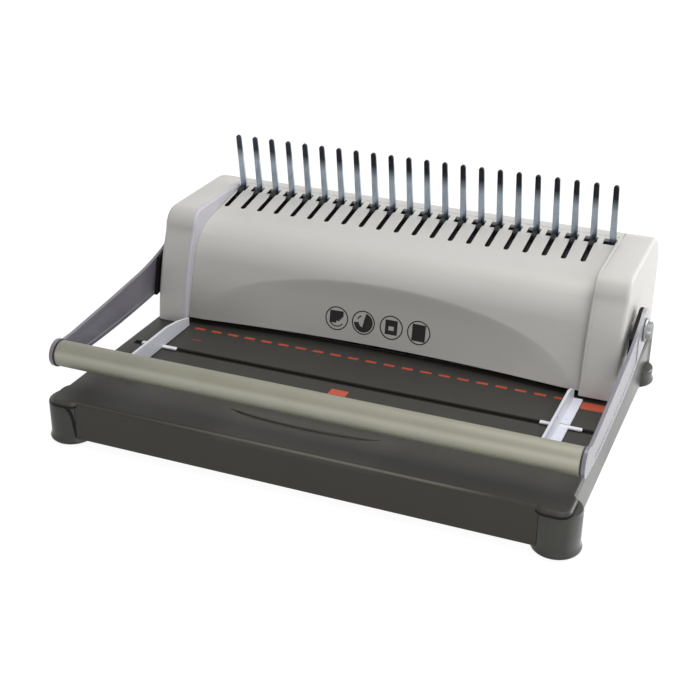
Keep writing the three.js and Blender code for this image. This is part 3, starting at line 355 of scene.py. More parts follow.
def make_world():
    """Soft bluish light all round, which shows as white."""
    world = bpy.data.worlds.new("world")
    scene.world = world
    world.use_nodes = True
    tree = world.node_tree
    tree.nodes.clear()
    soft = add_node(tree, "ShaderNodeBackground", {"Color": (0.93, 0.95, 1.0, 1), "Strength": world_strength})
    white = add_node(tree, "ShaderNodeBackground", {"Color": (1, 1, 1, 1), "Strength": 1.0})
    join_shaders(tree, shown_ray(tree), soft, white, "ShaderNodeOutputWorld")


def make_floor():
    """A pale floor that shows almost white and keeps the object's shadow."""
    bm = bmesh.new()
    bmesh.ops.create_grid(bm, x_segments=8, y_segments=8, size=floor_size)
    floor = new_object("floor", bm)
    floor.location = (0, 0, -floor_drop)
    mat = bpy.data.materials.new("floor")
    mat.use_nodes = True
    tree = mat.node_tree
    tree.nodes.clear()
    diffuse = add_node(tree, "ShaderNodeBsdfDiffuse", {"Color": (0.88, 0.88, 0.88, 1)})
    glow = add_node(tree, "ShaderNodeEmission", {"Color": (1, 1, 1, 1), "Strength": floor_glow})
    share = add_node(tree, "ShaderNodeMath", {0: shown_ray(tree), 1: floor_glow_share}, operation="MULTIPLY")
    join_shaders(tree, share.outputs[0], diffuse, glow, "ShaderNodeOutputMaterial")
    floor.data.materials.append(mat)


def lamp(name, place, target, size, power, colour):
    data = bpy.data.lights.new(name, "AREA")
    data.shape = "RECTANGLE"
    data.size, data.size_y = size
    data.energy = power
    data.color = colour
    obj = bpy.data.objects.new(name, data)
    turn = (Vector(target) - Vector(place)).to_track_quat("-Z", "Y").to_matrix().to_4x4()
    obj.matrix_world = Matrix.Translation(place) @ turn
    scene.collection.objects.link(obj)


def make_lights():
    """A large soft lamp above, one low at the right, and a weak one in front."""
    lamp("lamp_top", (0.45, 0.25, 1.5), (0.02, 0, 0.05), (1.5, 1.1), 18.5, (1.0, 0.99, 0.975))
    lamp("lamp_right", (1.25, 1.0, 0.36), (0.05, 0.03, 0.06), (0.9, 0.8), 13.0, (0.96, 0.96, 1.0))
    lamp("lamp_front", (0.6, -0.92, 0.52), (0.03, 0, 0.06), (0.6, 0.5), 2.85, (1.0, 0.985, 0.965))


# Materials
def linear(rgb):
    """A colour of 0 to 255 as Blender's linear one."""
    out = []
    for v in rgb:
        c = v / 255.0
        out.append(c / 12.92 if c <= 0.04045 else ((c + 0.055) / 1.055) ** 2.4)
    return (*out, 1.0)


class Finish:
    """Builds one procedural material step by step. Places and distances are in millimetres."""

    def __init__(self, name, colour, roughness, metallic=0.0, specular=0.5):
        self.mat = bpy.data.materials.new(name)
        self.mat.use_nodes = True
        self.tree = self.mat.node_tree
        self.shader = self.tree.nodes["Principled BSDF"]
        self.colour = linear(colour)
        self.mat.diffuse_color = self.colour
        for socket, value in (
            ("Base Color", self.colour), ("Roughness", roughness), ("Metallic", metallic),
            ("Specular IOR Level", specular),
        ):
            self.shader.inputs[socket].default_value = value
        self.place = self.node("ShaderNodeTexCoord", {}).outputs["Object"]

    def node(self, kind, sockets, **settings):
        return add_node(self.tree, kind, sockets, **settings)

    def noise(self, scale, detail=3.0, rough=0.55, stretch=None):
        vector = self.place
        if stretch:
            vector = self.node("ShaderNodeMapping", {"Vector": vector, "Scale": stretch}).outputs["Vector"]
        return self.node("ShaderNodeTexNoise", {
            "Vector": vector, "Scale": scale, "Detail": detail, "Roughness": rough,
        }).outputs["Fac"]

    def ramp(self, value, low, high, from_low=0.0, from_high=1.0):
        """low where the value is from_low or less, high where it is from_high or more."""
        return self.node("ShaderNodeMapRange", {
            "Value": value, "From Min": from_low, "From Max": from_high, "To Min": low, "To Max": high,
        }).outputs["Result"]

    def math(self, kind, a, b):
        return self.node("ShaderNodeMath", {0: a, 1: b}, operation=kind).outputs[0]

    def times(self, mask, *more):
        """Masks, or masks and numbers, multiplied with one another."""
        for other in more:
            mask = self.math("MULTIPLY", mask, other)
        return mask

    def along(self, axis):
        """The place along one axis of the part, in metres."""
        return self.node("ShaderNodeSeparateXYZ", {0: self.place}).outputs[axis]

    def rise(self, axis, low, high, top=1.0):
        """0 up to one place along an axis, and top from the other on."""
        return self.ramp(self.along(axis), 0.0, top, low * MM, high * MM)

    def fall(self, axis, low, high, top=1.0):
        """top up to one place along an axis, and 0 from the other on."""
        return self.ramp(self.along(axis), top, 0.0, low * MM, high * MM)

    def within(self, near, far):
        """1 up to near from the part's middle plane, and 0 from far on, on both sides."""
        return self.ramp(self.math("ABSOLUTE", self.along(X), 0.0), 1.0, 0.0, near * MM, far * MM)

    def normal(self):
        return self.node("ShaderNodeNewGeometry", {}).outputs["Normal"]

    def facing(self, axis):
        """How squarely the surface faces along one axis, either way."""
        split = self.node("ShaderNodeSeparateXYZ", {0: self.normal()})
        return self.math("ABSOLUTE", split.outputs[axis], 0.0)

    def rounded(self, radius):
        """The normal of a surface whose edges are rounded by the radius."""
        return self.node("ShaderNodeBevel", {"Radius": radius * MM}, samples=4).outputs["Normal"]

    def edges(self, radius):
        """0 on flats, towards 1 on the rounded edges of the form."""
        turn = self.node(
            "ShaderNodeVectorMath", {0: self.rounded(radius), 1: self.normal()}, operation="DOT_PRODUCT",
        )
        return self.ramp(turn.outputs["Value"], 1.0, 0.0, 0.8, 0.995)

    def tint(self, colour, *masks):
        """Mixes another colour in by its masks, over what is there."""
        mix = self.node("ShaderNodeMix", {0: self.times(*masks)}, data_type="RGBA")
        ends = {s.name: s for s in mix.inputs if s.type == "RGBA"}
        base = self.shader.inputs["Base Color"]
        if base.is_linked:
            self.tree.links.new(base.links[0].from_socket, ends["A"])
        else:
            ends["A"].default_value = self.colour
        ends["B"].default_value = linear(colour)
        self.feed("Base Color", next(s for s in mix.outputs if s.type == "RGBA"))

    def feed(self, socket, value):
        """Links a value to one of the shader's sockets."""
        self.tree.links.new(value, self.shader.inputs[socket])

    def bump(self, layers, radius=None):
        """layers: (height, distance, strength). The radius rounds the edges in the shading."""
        under = {"Normal": self.rounded(radius)} if radius else {}
        for height, distance, strength in layers:
            sockets = {"Height": height, "Distance": distance * MM, "Strength": strength, **under}
            under = {"Normal": self.node("ShaderNodeBump", sockets).outputs["Normal"]}
        self.feed("Normal", under["Normal"])


def moulded(name, colour, roughness, light, dark, depth, grain=1500, radius=0.4, wear_and_highlight=None, specular=0.45,
            flank=None, marks=()):
    """Moulded plastic: fine grain, faint clouding, edges rubbed smooth and tinted lighter, partly as wear and
    partly as a painted highlight.

    flank is the roughness and specular level of the left and right faces in front of flank_end.
    """
    flank_end = 116.5
    f = Finish(name, colour, roughness, specular=specular)
    cloud = f.noise(9.0, 4.0)
    f.tint(light, f.ramp(cloud, 0.0, 0.55, 0.52, 0.75))
    f.tint(dark, f.ramp(f.noise(23.0), 0.0, 0.45, 0.55, 0.8))
    f.tint(dark, f.ramp(f.noise(grain * 0.6, 2.0), 0.0, 0.25, 0.6, 0.75))
    rim = f.edges(radius * 1.3)
    # Lighter rubbed edges: partly wear, partly a painted highlight, most of all on the base.
    if wear_and_highlight:
        f.tint(wear_and_highlight, rim, f.ramp(f.noise(160.0, 5.0), 0.3, 0.9, 0.4, 0.62))
    for mark in marks:
        mark(f)
    base = f.ramp(cloud, roughness - 0.05, roughness + 0.06, 0.3, 0.7)
    base = f.math("SUBTRACT", base, f.times(rim, 0.08))
    if flank:
        flank_rough, flank_specular = flank
        side = f.times(f.ramp(f.facing(X), 0.0, 1.0, 0.55, 0.95), f.fall(Y, flank_end, flank_end + 2))
        base = f.math("SUBTRACT", base, f.times(side, roughness - flank_rough))
        f.feed("Specular IOR Level", f.ramp(side, specular, flank_specular))
    f.feed("Roughness", base)
    f.bump([(f.noise(grain, 2.0), depth, 0.35), (f.noise(grain * 0.35), depth * 1.6, 0.2)], radius)
    return f.mat


def metal(name, colour, roughness, light, dark, brush=(1, 1, 1), scale=500, radius=0.3, cloudy=0.5,
          metallic=1.0, marks=()):
    """Plated or drawn metal: brushing, soft clouding and bright edges."""
    f = Finish(name, colour, roughness, metallic=metallic)
    lines = f.noise(scale, 4.0, 0.6, brush)
    cloud = f.noise(34.0, 4.0)
    f.tint(dark, f.ramp(cloud, 0.0, cloudy, 0.45, 0.72))
    f.tint(light, f.ramp(lines, 0.0, 0.22, 0.5, 0.8))
    f.tint(light, f.edges(radius * 1.5), 0.5)
    for mark in marks:
        mark(f)
    base = f.ramp(lines, roughness - 0.07, roughness + 0.08, 0.3, 0.7)
    f.feed("Roughness", f.math("ADD", base, f.times(cloud, 0.06)))
    f.bump([(lines, 0.01, 0.35)], radius)
    return f.mat


def printed(name, colour, ground):
    """Pad-printed ink, slightly uneven, so that the ground shows through."""
    f = Finish(name, colour, 0.5, specular=0.35)
    f.tint(ground, f.ramp(f.noise(900.0), 0.0, 0.55, 0.62, 0.8))
    f.tint(ground, f.ramp(f.noise(60.0), 0.0, 0.25, 0.4, 0.7))
    f.feed("Roughness", f.ramp(f.noise(240.0, 2.0), 0.42, 0.6, 0.35, 0.65))
    f.bump([(f.noise(1500.0, 2.0), 0.01, 0.3)])
    return f.mat


def milky():
    """The smooth, slightly cloudy plastic of the paper guides."""
    f = Finish("guide_plastic", (224, 226, 235), 0.32)
    f.tint((206, 208, 221), f.ramp(f.noise(28.0), 0.0, 0.4, 0.4, 0.75))
    f.tint((243, 244, 249), f.edges(0.5), 0.6)
    f.feed("Roughness", f.ramp(f.noise(120.0), 0.26, 0.4, 0.3, 0.7))
    f.bump([(f.noise(260.0, 2.0), 0.004, 0.2)], 0.35)
    return f.mat


# Marks: tints at fixed places, for painted light and shade and other tones that the photograph shows
def painted_slot_shade(f):
    """Painted shade: the cut faces of the cover's slots are painted dark."""
    cut = f.ramp(f.facing(X), 0.0, 1.0, 0.5, 0.75)
    f.tint((26, 26, 27), cut, f.rise(Z, 104, 106), f.within(153.5, 154.5))


def cover_shade(f):
    """Painted shade: the cover is painted darker low down, most of all beside the left end cap."""
    f.tint((136, 134, 130), f.fall(X, -156, -85), f.fall(Z, 46, 78), 0.66)
    f.tint((136, 134, 129), f.fall(X, 0, 120), f.fall(Z, 43, 68), 0.34)


def base_shade(f):
    """The base has a browner front, a lighter lowest edge with painted shade along it at the right, painted
    light at the finger recess and a painted highlight along the deck's front edge.
    """
    front = f.facing(Y)
    f.tint((56, 51, 42), f.ramp(front, 0.0, 0.6, 0.75, 0.97))
    # Lighter along the lowest edge, and painted shade along it at the right.
    foot = f.fall(Z, 1.8, 3.6)
    f.tint((104, 100, 82), foot, 0.4)
    f.tint((32, 30, 26), foot, f.rise(X, -20, 60))
    # Painted light at the finger recess.
    f.tint((80, 78, 74), f.within(50, 68), f.fall(Y, -103, -99), f.rise(Z, 30, 32.5), 0.4)
    # Painted highlight along the deck's rounded front edge, fading towards the left.
    edge = f.times(f.ramp(front, 0.0, 1.0, 0.35, 0.55), f.ramp(front, 1.0, 0.0, 0.8, 0.93))
    fade = f.times(f.fall(X, 100, 140), f.ramp(f.along(X), 0.1, 0.75, -120 * MM, 0.0))
    f.tint((118, 117, 104), edge, f.rise(Z, 31.2, 32.2), fade)


def foot_shade(f):
    """Painted shade: the rim of a boot is painted dark where it meets the table."""
    f.tint((34, 34, 32), f.fall(Z, 2.4, 4.2, 0.85))


def arm_pivot_highlight(f):
    """Painted light: the right arm is painted paler round its pivot."""
    f.tint((192, 192, 198), f.rise(X, 0, 10), f.rise(Y, 20, 70, 0.85))


def tube_shade(f):
    """Painted highlight: a bright band along the tube's middle; painted shade above and below it."""
    f.tint((204, 202, 188), f.rise(Z, 58.5, 62.5), f.fall(Z, 63.5, 66), 0.4)
    f.tint((112, 111, 100), f.rise(Z, 64.5, 68.5, 0.3))
    f.tint((102, 101, 88), f.fall(Z, 53.5, 59, 0.7))


def tine_shade(f):
    """Painted shade: the upper ends of the tines are painted dark."""
    f.tint((30, 32, 37), f.rise(Z, 141, 151, 0.92))


def make_materials():
    upright = (1, 1, 0.06)
    housing = dict(
        colour=(203, 201, 196), roughness=0.42, light=(209, 207, 203), dark=(191, 188, 182), depth=0.018,
        radius=0.6, wear_and_highlight=(214, 213, 210),
    )
    # A lilac copy of the housing plastic for the left end cap's rim: painted light, the cool tint that light
    # from the right gives it.
    rim = {**housing, "colour": (200, 199, 206), "light": (206, 205, 211)}
    return {
        "housing": moulded("housing_plastic", **housing),
        "rim": moulded("rim_painted_light", **rim),
        "cover": moulded("cover_plastic", marks=(painted_slot_shade, cover_shade), **housing),
        # The base's lighter edge tint is raised partly as a painted highlight.
        "base": moulded(
            "base_plastic", (57, 56, 52), 0.42, (65, 64, 60), (47, 46, 43), 0.035, grain=1100,
            radius=0.7, wear_and_highlight=(104, 102, 92), specular=0.27, flank=(0.27, 0.5), marks=(base_shade,),
        ),
        "foot": moulded(
            "foot_plastic", (61, 61, 57), 0.42, (70, 70, 66), (52, 52, 49), 0.045, grain=900,
            radius=0.5, wear_and_highlight=(92, 92, 88), specular=0.3, flank=(0.17, 0.95), marks=(foot_shade,),
        ),
        "rubber": moulded("pad_rubber", (38, 38, 37), 0.85, (50, 50, 48), (26, 26, 25), 0.05, grain=700),
        "arm": moulded(
            "arm_plastic", (122, 120, 128), 0.19, (137, 135, 144), (116, 114, 123), 0.004, radius=0.22,
            wear_and_highlight=(152, 150, 158), specular=0.62, marks=(arm_pivot_highlight,),
        ),
        "tray": moulded(
            "tray_plastic", (50, 50, 51), 0.6, (62, 62, 63), (38, 38, 39), 0.05, grain=1000,
            wear_and_highlight=(84, 84, 86),
        ),
        "seam": moulded(
            "seam_shadow", (17, 17, 16), 0.7, (24, 24, 23), (11, 11, 11), 0.03, grain=900, radius=0.3,
            specular=0.2,
        ),
        "guide": milky(),
        "slider": moulded("slider_plastic", (232, 232, 236), 0.4, (240, 240, 244), (214, 214, 220), 0.015),
        "tube": metal(
            "handle_aluminium", (153, 152, 137), 0.5, (170, 169, 154), (125, 124, 110), (0.05, 1, 1), 1400,
            cloudy=0.25, metallic=0.3, marks=(tube_shade,),
        ),
        "steel": metal(
            "bright_steel", (158, 170, 178), 0.24, (214, 224, 232), (96, 106, 112), upright, 1300, radius=0.2,
        ),
        "bolt": metal(
            "bolt_steel", (158, 160, 160), 0.34, (196, 198, 198), (92, 94, 94), scale=700, radius=0.25,
            cloudy=0.6,
        ),
        "tine": metal(
            "tine_steel", (180, 192, 206), 0.27, (222, 230, 240), (118, 129, 141), upright, 900, radius=0.2,
            cloudy=0.4, marks=(tine_shade,),
        ),
        "black_steel": metal("black_steel", (22, 22, 24), 0.5, (38, 38, 41), (14, 14, 15), metallic=0.4),
        "dark_steel": metal("dark_steel", (84, 86, 90), 0.45, (128, 130, 134), (48, 49, 52)),
        "tool_steel": metal(
            "tool_steel", (128, 131, 134), 0.3, (190, 192, 195), (84, 86, 88), (1, 0.08, 1), 1200, radius=0.2,
            cloudy=0.35,
        ),
        "red_ink": printed("red_ink", (186, 74, 52), (96, 62, 52)),
        "label_ink": printed("label_ink", (197, 86, 60), (150, 76, 58)),
        "dark_ink": printed("dark_ink", (26, 25, 25), (62, 60, 58)),
        "faint_ink": printed("faint_ink", (132, 58, 44), (70, 60, 55)),
    }


# Front cover: outlines run from the throat up and back, as (y, z)
cover_lean = (19.95, 83.9)
crest_radius = 34.0
crest_steps = 28
scoop_half = cover_half * 0.935
scoop_rise = (cover_lean[1] - throat_top) * 1.061
scoop_lip = 4.6 / 3
scoop_deep = 9.6
scoop_softness = 0.09
cover_stations = 96
slot_half = 1.95
slot_end = 97.0
tine_hole_x = (-6.4, 3.2)
tine_hole_y = (94.3, 102.5)
rim_ease = 0.45


def cover_crest():
    """The round between the leaning front and the sloping top."""
    lean = atan2(cover_lean[1] - throat_top, cover_lean[0] - cover_front)
    cy = cover_lean[0] + crest_radius * sin(lean)
    cz = cover_lean[1] - crest_radius * cos(lean)
    points = arc(cy, cz, crest_radius, lean + pi / 2, slope + pi / 2, crest_steps)
    lift = slope_z(points[-1][0]) - points[-1][1]
    return [(y, z + lift) for y, z in points]


crest = cover_crest()
front_path = [(cover_front, throat_top)] + crest


def front_y(z):
    for (y0, z0), (y1, z1) in zip(front_path, front_path[1:]):
        if z <= z1:
            return y0 + (y1 - y0) * (z - z0) / (z1 - z0)
    return front_path[-1][0]


def scoop_top(x):
    share = min(abs(x) / scoop_half, 1)
    return throat_top + max(scoop_rise * sqrt(max(1 - share * share, 0)), scoop_lip)


def scoop_depth(x, z):
    u = x / scoop_half
    v = (z - throat_top) / scoop_rise
    share = max(1 - u * u - v * v, 0)
    return scoop_deep * share * share / (share + scoop_softness)


def cover_y(x, z):
    return front_y(z) + scoop_depth(x, z)


def cover_section(x):
    """The scoop, the front above it, the crest and the slope, in the plane at x."""
    scoop_steps, front_steps = 18, 12
    edge = scoop_top(x)
    points = []
    for i in range(scoop_steps):
        z = throat_top + (edge - throat_top) * (1 - (1 - i / scoop_steps) ** 1.7)
        points.append((cover_y(x, z), z))
    middle = crest_steps // 2
    for i in range(front_steps):
        z = edge + (crest[middle][1] - edge) * i / front_steps
        points.append((front_y(z), z))
    return points + crest[middle:] + [(cover_back, slope_z(cover_back))]


def cover_shell():
    """The cover as one bent wall, closed along its cut edges."""
    loops = []
    for i in range(cover_stations + 1):
        x = -cover_half + 2 * cover_half * i / cover_stations
        outer = cover_section(x)
        inner = inset(outer, housing_wall)
        inner[-1] = (outer[-1][0], outer[-1][1] - housing_wall)
        loops.append([(x, y, z) for y, z in outer + inner[::-1]])
    bm = bmesh.new()
    rings = skin(bm, loops)
    last = len(rings[0]) - 1
    for ring in (rings[0], rings[-1]):
        for k in range(last // 2):
            bm.faces.new((ring[k], ring[k + 1], ring[last - k - 1], ring[last - k]))
    return new_object("front_cover_shell", bm)


def make_cover():
    cover = cover_shell()
    low, high = slope_z(slot_front[0]) - 6.5, slope_z(cover_back) + 2
    slot_parts = []
    for j in range(slots):
        x = tine_x(j)
        outline = [(x + slot_half, slot_end), (x - slot_half, slot_end)]
        outline += arc(x, slot_front[0] + slot_half, slot_half, pi, 2 * pi, 12)
        slot_parts.append(prism_z(outline, low, high))
    left, right = tine_hole_x
    hole_parts = [box_bm(tine_x(i) + left, tine_x(i) + right, *tine_hole_y, low, high) for i in range(tines)]
    combine(cover, [new_object("slots", merged(slot_parts)), new_object("holes", merged(hole_parts))])
    round_rims(cover)
    soften(cover, 28)
    weigh_normals(cover)
    return cover


def round_rims(cover):
    """Eases the edges of slots and tine holes in the sloping top."""
    def in_top(v):
        y, z = v.co.y / MM, v.co.z / MM
        return abs(z - slope_z(y)) < 0.02 and 60 < y < 103.5

    bm = bmesh.new()
    bm.from_mesh(cover.data)
    bmesh.ops.remove_doubles(bm, verts=bm.verts, dist=1e-6)
    rim = []
    for edge in bm.edges:
        if len(edge.link_faces) == 2 and all(in_top(v) for v in edge.verts):
            a, b = edge.link_faces
            if a.normal.angle(b.normal, 0) > radians(50):
                rim.append(edge)
    bmesh.ops.bevel(
        bm, geom=rim, offset=rim_ease * MM, offset_type="OFFSET", segments=2, profile=0.5, affect="EDGES",
        clamp_overlap=True,
    )
    bm.to_mesh(cover.data)
    bm.free()


# End caps and rear cover
rear_radius = 31
cap_front = 2.0
cap_shoulder = (21.5, 106.0)
cap_bulge = 3.2
cap_radius = 15
cap_edge = 3.0
cap_fillet = 1.0
bolt_hole = 6.35
bush_hole = 9.8
side_slot = 2.4
lip_inner = cap_inner - 2.8
lip_back = 104.0
lip_fillet = 1.3
lip_gap = 0.3
rear_front = cover_back + 0.35
rear_rise_end = 112.5
vent_half = 30
vent_tip = 1.5


def rear_outline(steps=24):
    top = arc(rear_y - rear_radius, top_z - rear_radius, rear_radius, pi / 2, 0, steps)
    return top + [(rear_y, cap_bottom)]


def cap_outline():
    """A bulging front, a round shoulder, the flat top and the rounded back."""
    steps = 20
    run, rise = cap_shoulder[0] - cap_front, cap_shoulder[1] - cap_bottom
    length = hypot(run, rise)
    points = []
    for i in range(steps):
        share = i / steps
        bulge = 4 * share * (1 - share) * cap_bulge
        y = cap_front + run * share - rise / length * bulge
        points.append((y, cap_bottom + rise * share + run / length * bulge))
    cy = cap_shoulder[0] + cap_radius * 0.94
    points += arc(cy, top_z - cap_radius, cap_radius, pi - 0.12, pi / 2, 16)
    return points + rear_outline()


def cap_ring(side, x, distance, drop=0.0, only=None):
    """The cap's outline at x, moved inwards, with its two feet lowered by drop."""
    loop = [[side * x, y, z] for y, z in inset(cap_outline(), distance, only)]
    loop[0][Z] -= drop
    loop[-1][Z] -= drop
    return loop


def cap_tools(side):
    """The hollow of an end cap, its pivot holes and, at the right, the gap under it."""
    bend = cap_edge - housing_wall
    loops = [cap_ring(side, cap_inner + housing_wall, housing_wall, 2.0)]
    for down, out in fillet(bend, 3):
        loops.append(cap_ring(side, housing_half - housing_wall - out, housing_wall + down, 2.0))
    tools = [new_object("hollow", loft_bm(loops))]
    for name, radius, end in (("hole", bolt_hole, housing_half + 2), ("wide", bush_hole, cap_inner + 4.5)):
        tools.append(turned(name, side, [(cap_inner - 2, radius), (end, radius)], pivot, 48, None))
    if side > 0:
        gap = box_bm(cap_inner - 5, housing_half + 5, -13, 36.4, 33, cap_bottom + side_slot)
        tools.append(new_object("gap", gap))
    return tools


def make_cap(side):
    loops = []
    for out, down in fillet(cap_fillet, 4)[:-1]:
        loops.append(cap_ring(side, cap_inner + out, down, only=lambda y, z: y > lip_back + 0.5))
    for down, out in fillet(cap_edge, 8):
        loops.append(cap_ring(side, housing_half - out, down))
    cap = new_object(f"end_cap_shell_{side_word[side]}", loft_bm(loops))
    combine(cap, cap_tools(side))
    soften(cap, 30)
    return cap


def make_lip(side):
    """The rim of an end cap that stands over the edge of the cover."""
    rise = side_slot if side > 0 else 0.0
    bottom = cap_bottom + rise
    outer = [p for p in cap_outline() if p[0] <= lip_back and p[1] > bottom + 0.2]
    outer = [(cap_front + rise * 0.1, bottom)] + outer + [(lip_back, top_z)]
    below = [(cover_front, bottom), (cover_front, throat_top - lip_gap)]
    below += [p for p in front_path if p[1] > throat_top + 1] + [(lip_back, slope_z(lip_back))]
    below = inset(below, -lip_gap)
    below[0] = (cover_front - lip_gap, bottom)
    below[-1] = (lip_back, slope_z(lip_back) + lip_gap)
    stations = [(lip_inner + out, inset(outer, down)) for out, down in fillet(lip_fillet, 6)]
    stations.append((cap_inner, outer))
    loops = [[(side * x, y, z) for y, z in line + below[::-1]] for x, line in stations]
    return new_object(f"end_cap_rim_{side_word[side]}", loft_bm(loops), 40)


def vent(x, z):
    """A tool for one vent with pointed ends: x is its middle, z its lower edge."""
    half, tip = vent_half, vent_tip
    outline = [
        (x - half + tip, z), (x + half - tip, z), (x + half, z + tip),
        (x + half - tip, z + 2 * tip), (x - half + tip, z + 2 * tip), (x - half, z + tip),
    ]
    return loft_bm([[(u, y, w) for u, w in outline] for y in (rear_y - 4.5, rear_y + 2)])


def make_rear_cover():
    """It runs on from the front cover's slope, over the top and down."""
    start = slope_z(rear_front)
    back = [p for p in rear_outline(28) if p[0] > rear_rise_end]
    reach, height = back[0][0] - rear_front, back[0][1] - start
    shares = (0, 0.2, 0.4, 0.6, 0.8)
    outline = [(rear_front + reach * t, start + height * t * (2 - t)) for t in shares] + back
    inner = inset(outline, housing_wall)
    inner[0] = (rear_front, start - housing_wall)
    cover = new_object("rear_cover_shell", prism_x(outline + inner[::-1], -cover_half, cover_half))
    vents = [vent((column - 1) * 80, 52 + row * 7) for row in range(4) for column in range(3)]
    combine(cover, [new_object("vent_tool", merged(vents))])
    soften(cover, 25)
    return cover


# Handle: an arm's edges as shares of the way from tube to pivot, and of the pivot's height
arm_upper = [
    (0.117, 0.901), (0.273, 0.932), (0.429, 0.964), (0.586, 1), (0.694, 1.027), (0.79, 1.066),
    (0.874, 1.113),
]
arm_lower = [
    (0.898, 0.753), (0.802, 0.699), (0.646, 0.669), (0.477, 0.648), (0.345, 0.639), (0.231, 0.637),
    (0.117, 0.645),
]
arm_tip_radius = 10
arm_boss_radius = 15.5
arm_rim = 3.2
arm_pocket = 0.5
tube_outer = 9.2
tube_inner = 7.8
tube_bend = 0.7
bolt_start = arm_inner + arm_thick + 0.3
bolt_head_radius = 6.4


def arm_outline(shrink):
    reach = pivot[0] - tube[0]
    upper = smooth_run([(tube[0] + s * reach, h * pivot[1] - shrink) for s, h in arm_upper])
    lower = smooth_run([(tube[0] + s * reach, h * pivot[1] + shrink) for s, h in arm_lower])
    tip = arc(*tube, arm_tip_radius - shrink, 1.5 * pi - 0.15, 0.8, 36)
    boss = arc(*pivot, arm_boss_radius - shrink, 2 / 3 * pi, -pi / 2 + 0.23, 40)
    return tip + upper + boss + lower


def make_arm(side):
    """A flat arm with a shallow pocket in either face, inside a rim."""
    start = arm_inner if side > 0 else -arm_inner - arm_thick
    end = start + arm_thick
    arm = new_object(f"arm_{side_word[side]}", prism_x(arm_outline(0), start, end))
    low = tube[0] + arm_tip_radius + arm_rim
    high = pivot[0] - arm_boss_radius - 1.6
    pocket = []
    for p in arm_outline(arm_rim):
        if low <= p[0] <= high and (not pocket or dist(p, pocket[-1]) > 0.05):
            pocket.append(p)
    combine(arm, [
        new_object("pocket_a", prism_x(pocket, start - 2, start + arm_pocket)),
        new_object("pocket_b", prism_x(pocket, end - arm_pocket, end + 2)),
    ])
    ease(arm, 0.5, 3)
    return arm


def make_spacer(side):
    """The ring on the pivot between end cap and arm."""
    start, end = housing_half + 0.6, arm_inner + 0.3
    profile = [(start, 6.15), (start, 8.2), (start + 0.6, 8.8), (end, 8.8), (end, 6.15)]
    return turned("arm_spacer", side, profile, pivot)


def make_spigot(side):
    """The stub of the arm that carries the tube's end."""
    start, end = arm_inner - 9, arm_inner + 0.3
    profile = [(start, centre), (start, 6.8), (start + 0.7, 7.5), (end, 7.5), (end, centre)]
    return turned("arm_spigot", side, profile, tube, 48)


def make_collar(side):
    """The dark ring between tube and arm."""
    start, end = arm_inner - 0.9, arm_inner - 0.05
    return turned("arm_collar", side, [(start, 7.6), (start, 9.45), (end, 9.45), (end, 7.6)], tube)


def make_gap_shadow(side):
    """A dark disc behind an arm's head: a painted shadow in the gap between end cap and arm."""
    head = [p for p in arm_outline(0.1) if p[0] >= 8.0 + (p[1] - 56.0) * 0.25]
    ends = sorted(side * (arm_inner - depth) for depth in (2.6, 0.05))
    lining = new_object(f"arm_gap_shadow_{side_word[side]}", prism_x(head, *ends))
    ease(lining, 0.3, 2)
    return lining


def make_tube():
    """The grip, open from end to end."""
    reach = arm_inner - 1.0
    rim = [(reach - out, tube_outer - down) for down, out in fillet(tube_bend, 4)]
    profile = [(-reach, tube_inner)] + [(-x, r) for x, r in rim[::-1]] + rim + [(reach, tube_inner)]
    bm = bmesh.new()
    rings = skin(bm, [[(x, *p) for p in circle(*tube, r, 96)] for x, r in profile])
    join_rings(bm, rings[-1], rings[0])
    return new_object("grip_tube", bm, 35)


def make_bolt_flange(side):
    profile = [(0, centre), (0, 8.3), (0.3, 8.5), (1.1, 8.5), (1.5, 8.1), (1.5, centre)]
    return turned("bolt_flange", side, [(bolt_start + x, r) for x, r in profile], pivot, smooth=30)


def make_bolt_head(side):
    """A hexagon with a chamfered face."""
    sides, sixth = 48, pi / 3
    loops = []
    for x, r in ((1.2, bolt_head_radius), (4.0, bolt_head_radius), (4.8, 5.6), (5.1, 4.6)):
        loop = []
        for k in range(sides):
            angle = 2 * pi * k / sides + sixth / 2
            flat = bolt_head_radius * cos(sixth / 2) / cos(angle % sixth - sixth / 2)
            rr = min(flat, r)
            place = (pivot[0] + rr * cos(angle), pivot[1] + rr * sin(angle))
            loop.append((side * (bolt_start + x), *place))
        loops.append(loop)
    return new_object(f"bolt_head_{side_word[side]}", loft_bm(loops), 24)


# Boots and their seams
foot_radius = 15.0
foot_hollow = 10.8
foot_x = half_width - 7.8
foot_front_y = 11.5 - half_depth
foot_rear_y = half_depth - 26
corner_reach = (2.1, 3.3)
corner_proud = 0.3


def make_foot(side, row):
    """A round boot with a flared rim and a hollow for its pad. A rear one is narrower."""
    y, top, r = (foot_front_y, 30.8, foot_radius) if row < 0 else (foot_rear_y, 13.5, foot_radius - 1.4)
    hollow = [(4.6, centre), (4.6, foot_hollow), (1.0, foot_hollow)]
    flare = [
        (1.0, r - 1.4), (1.5, r + 0.1), (2.4, r + 0.9), (3.4, r + 1.2), (4.4, r + 0.9), (5.6, r + 0.3),
        (7.2, r + 0.05), (9.0, r),
    ]
    shoulder = [(top - 1.2, r), (top - 0.5, r - 0.25), (top - 0.1, r - 0.8), (top, r - 1.6), (top, centre)]
    name = f"boot_{row_word[row]}_{side_word[side]}"
    return new_object(name, lathe_z(hollow + flare + shoulder, side * foot_x, y, 72), 35)


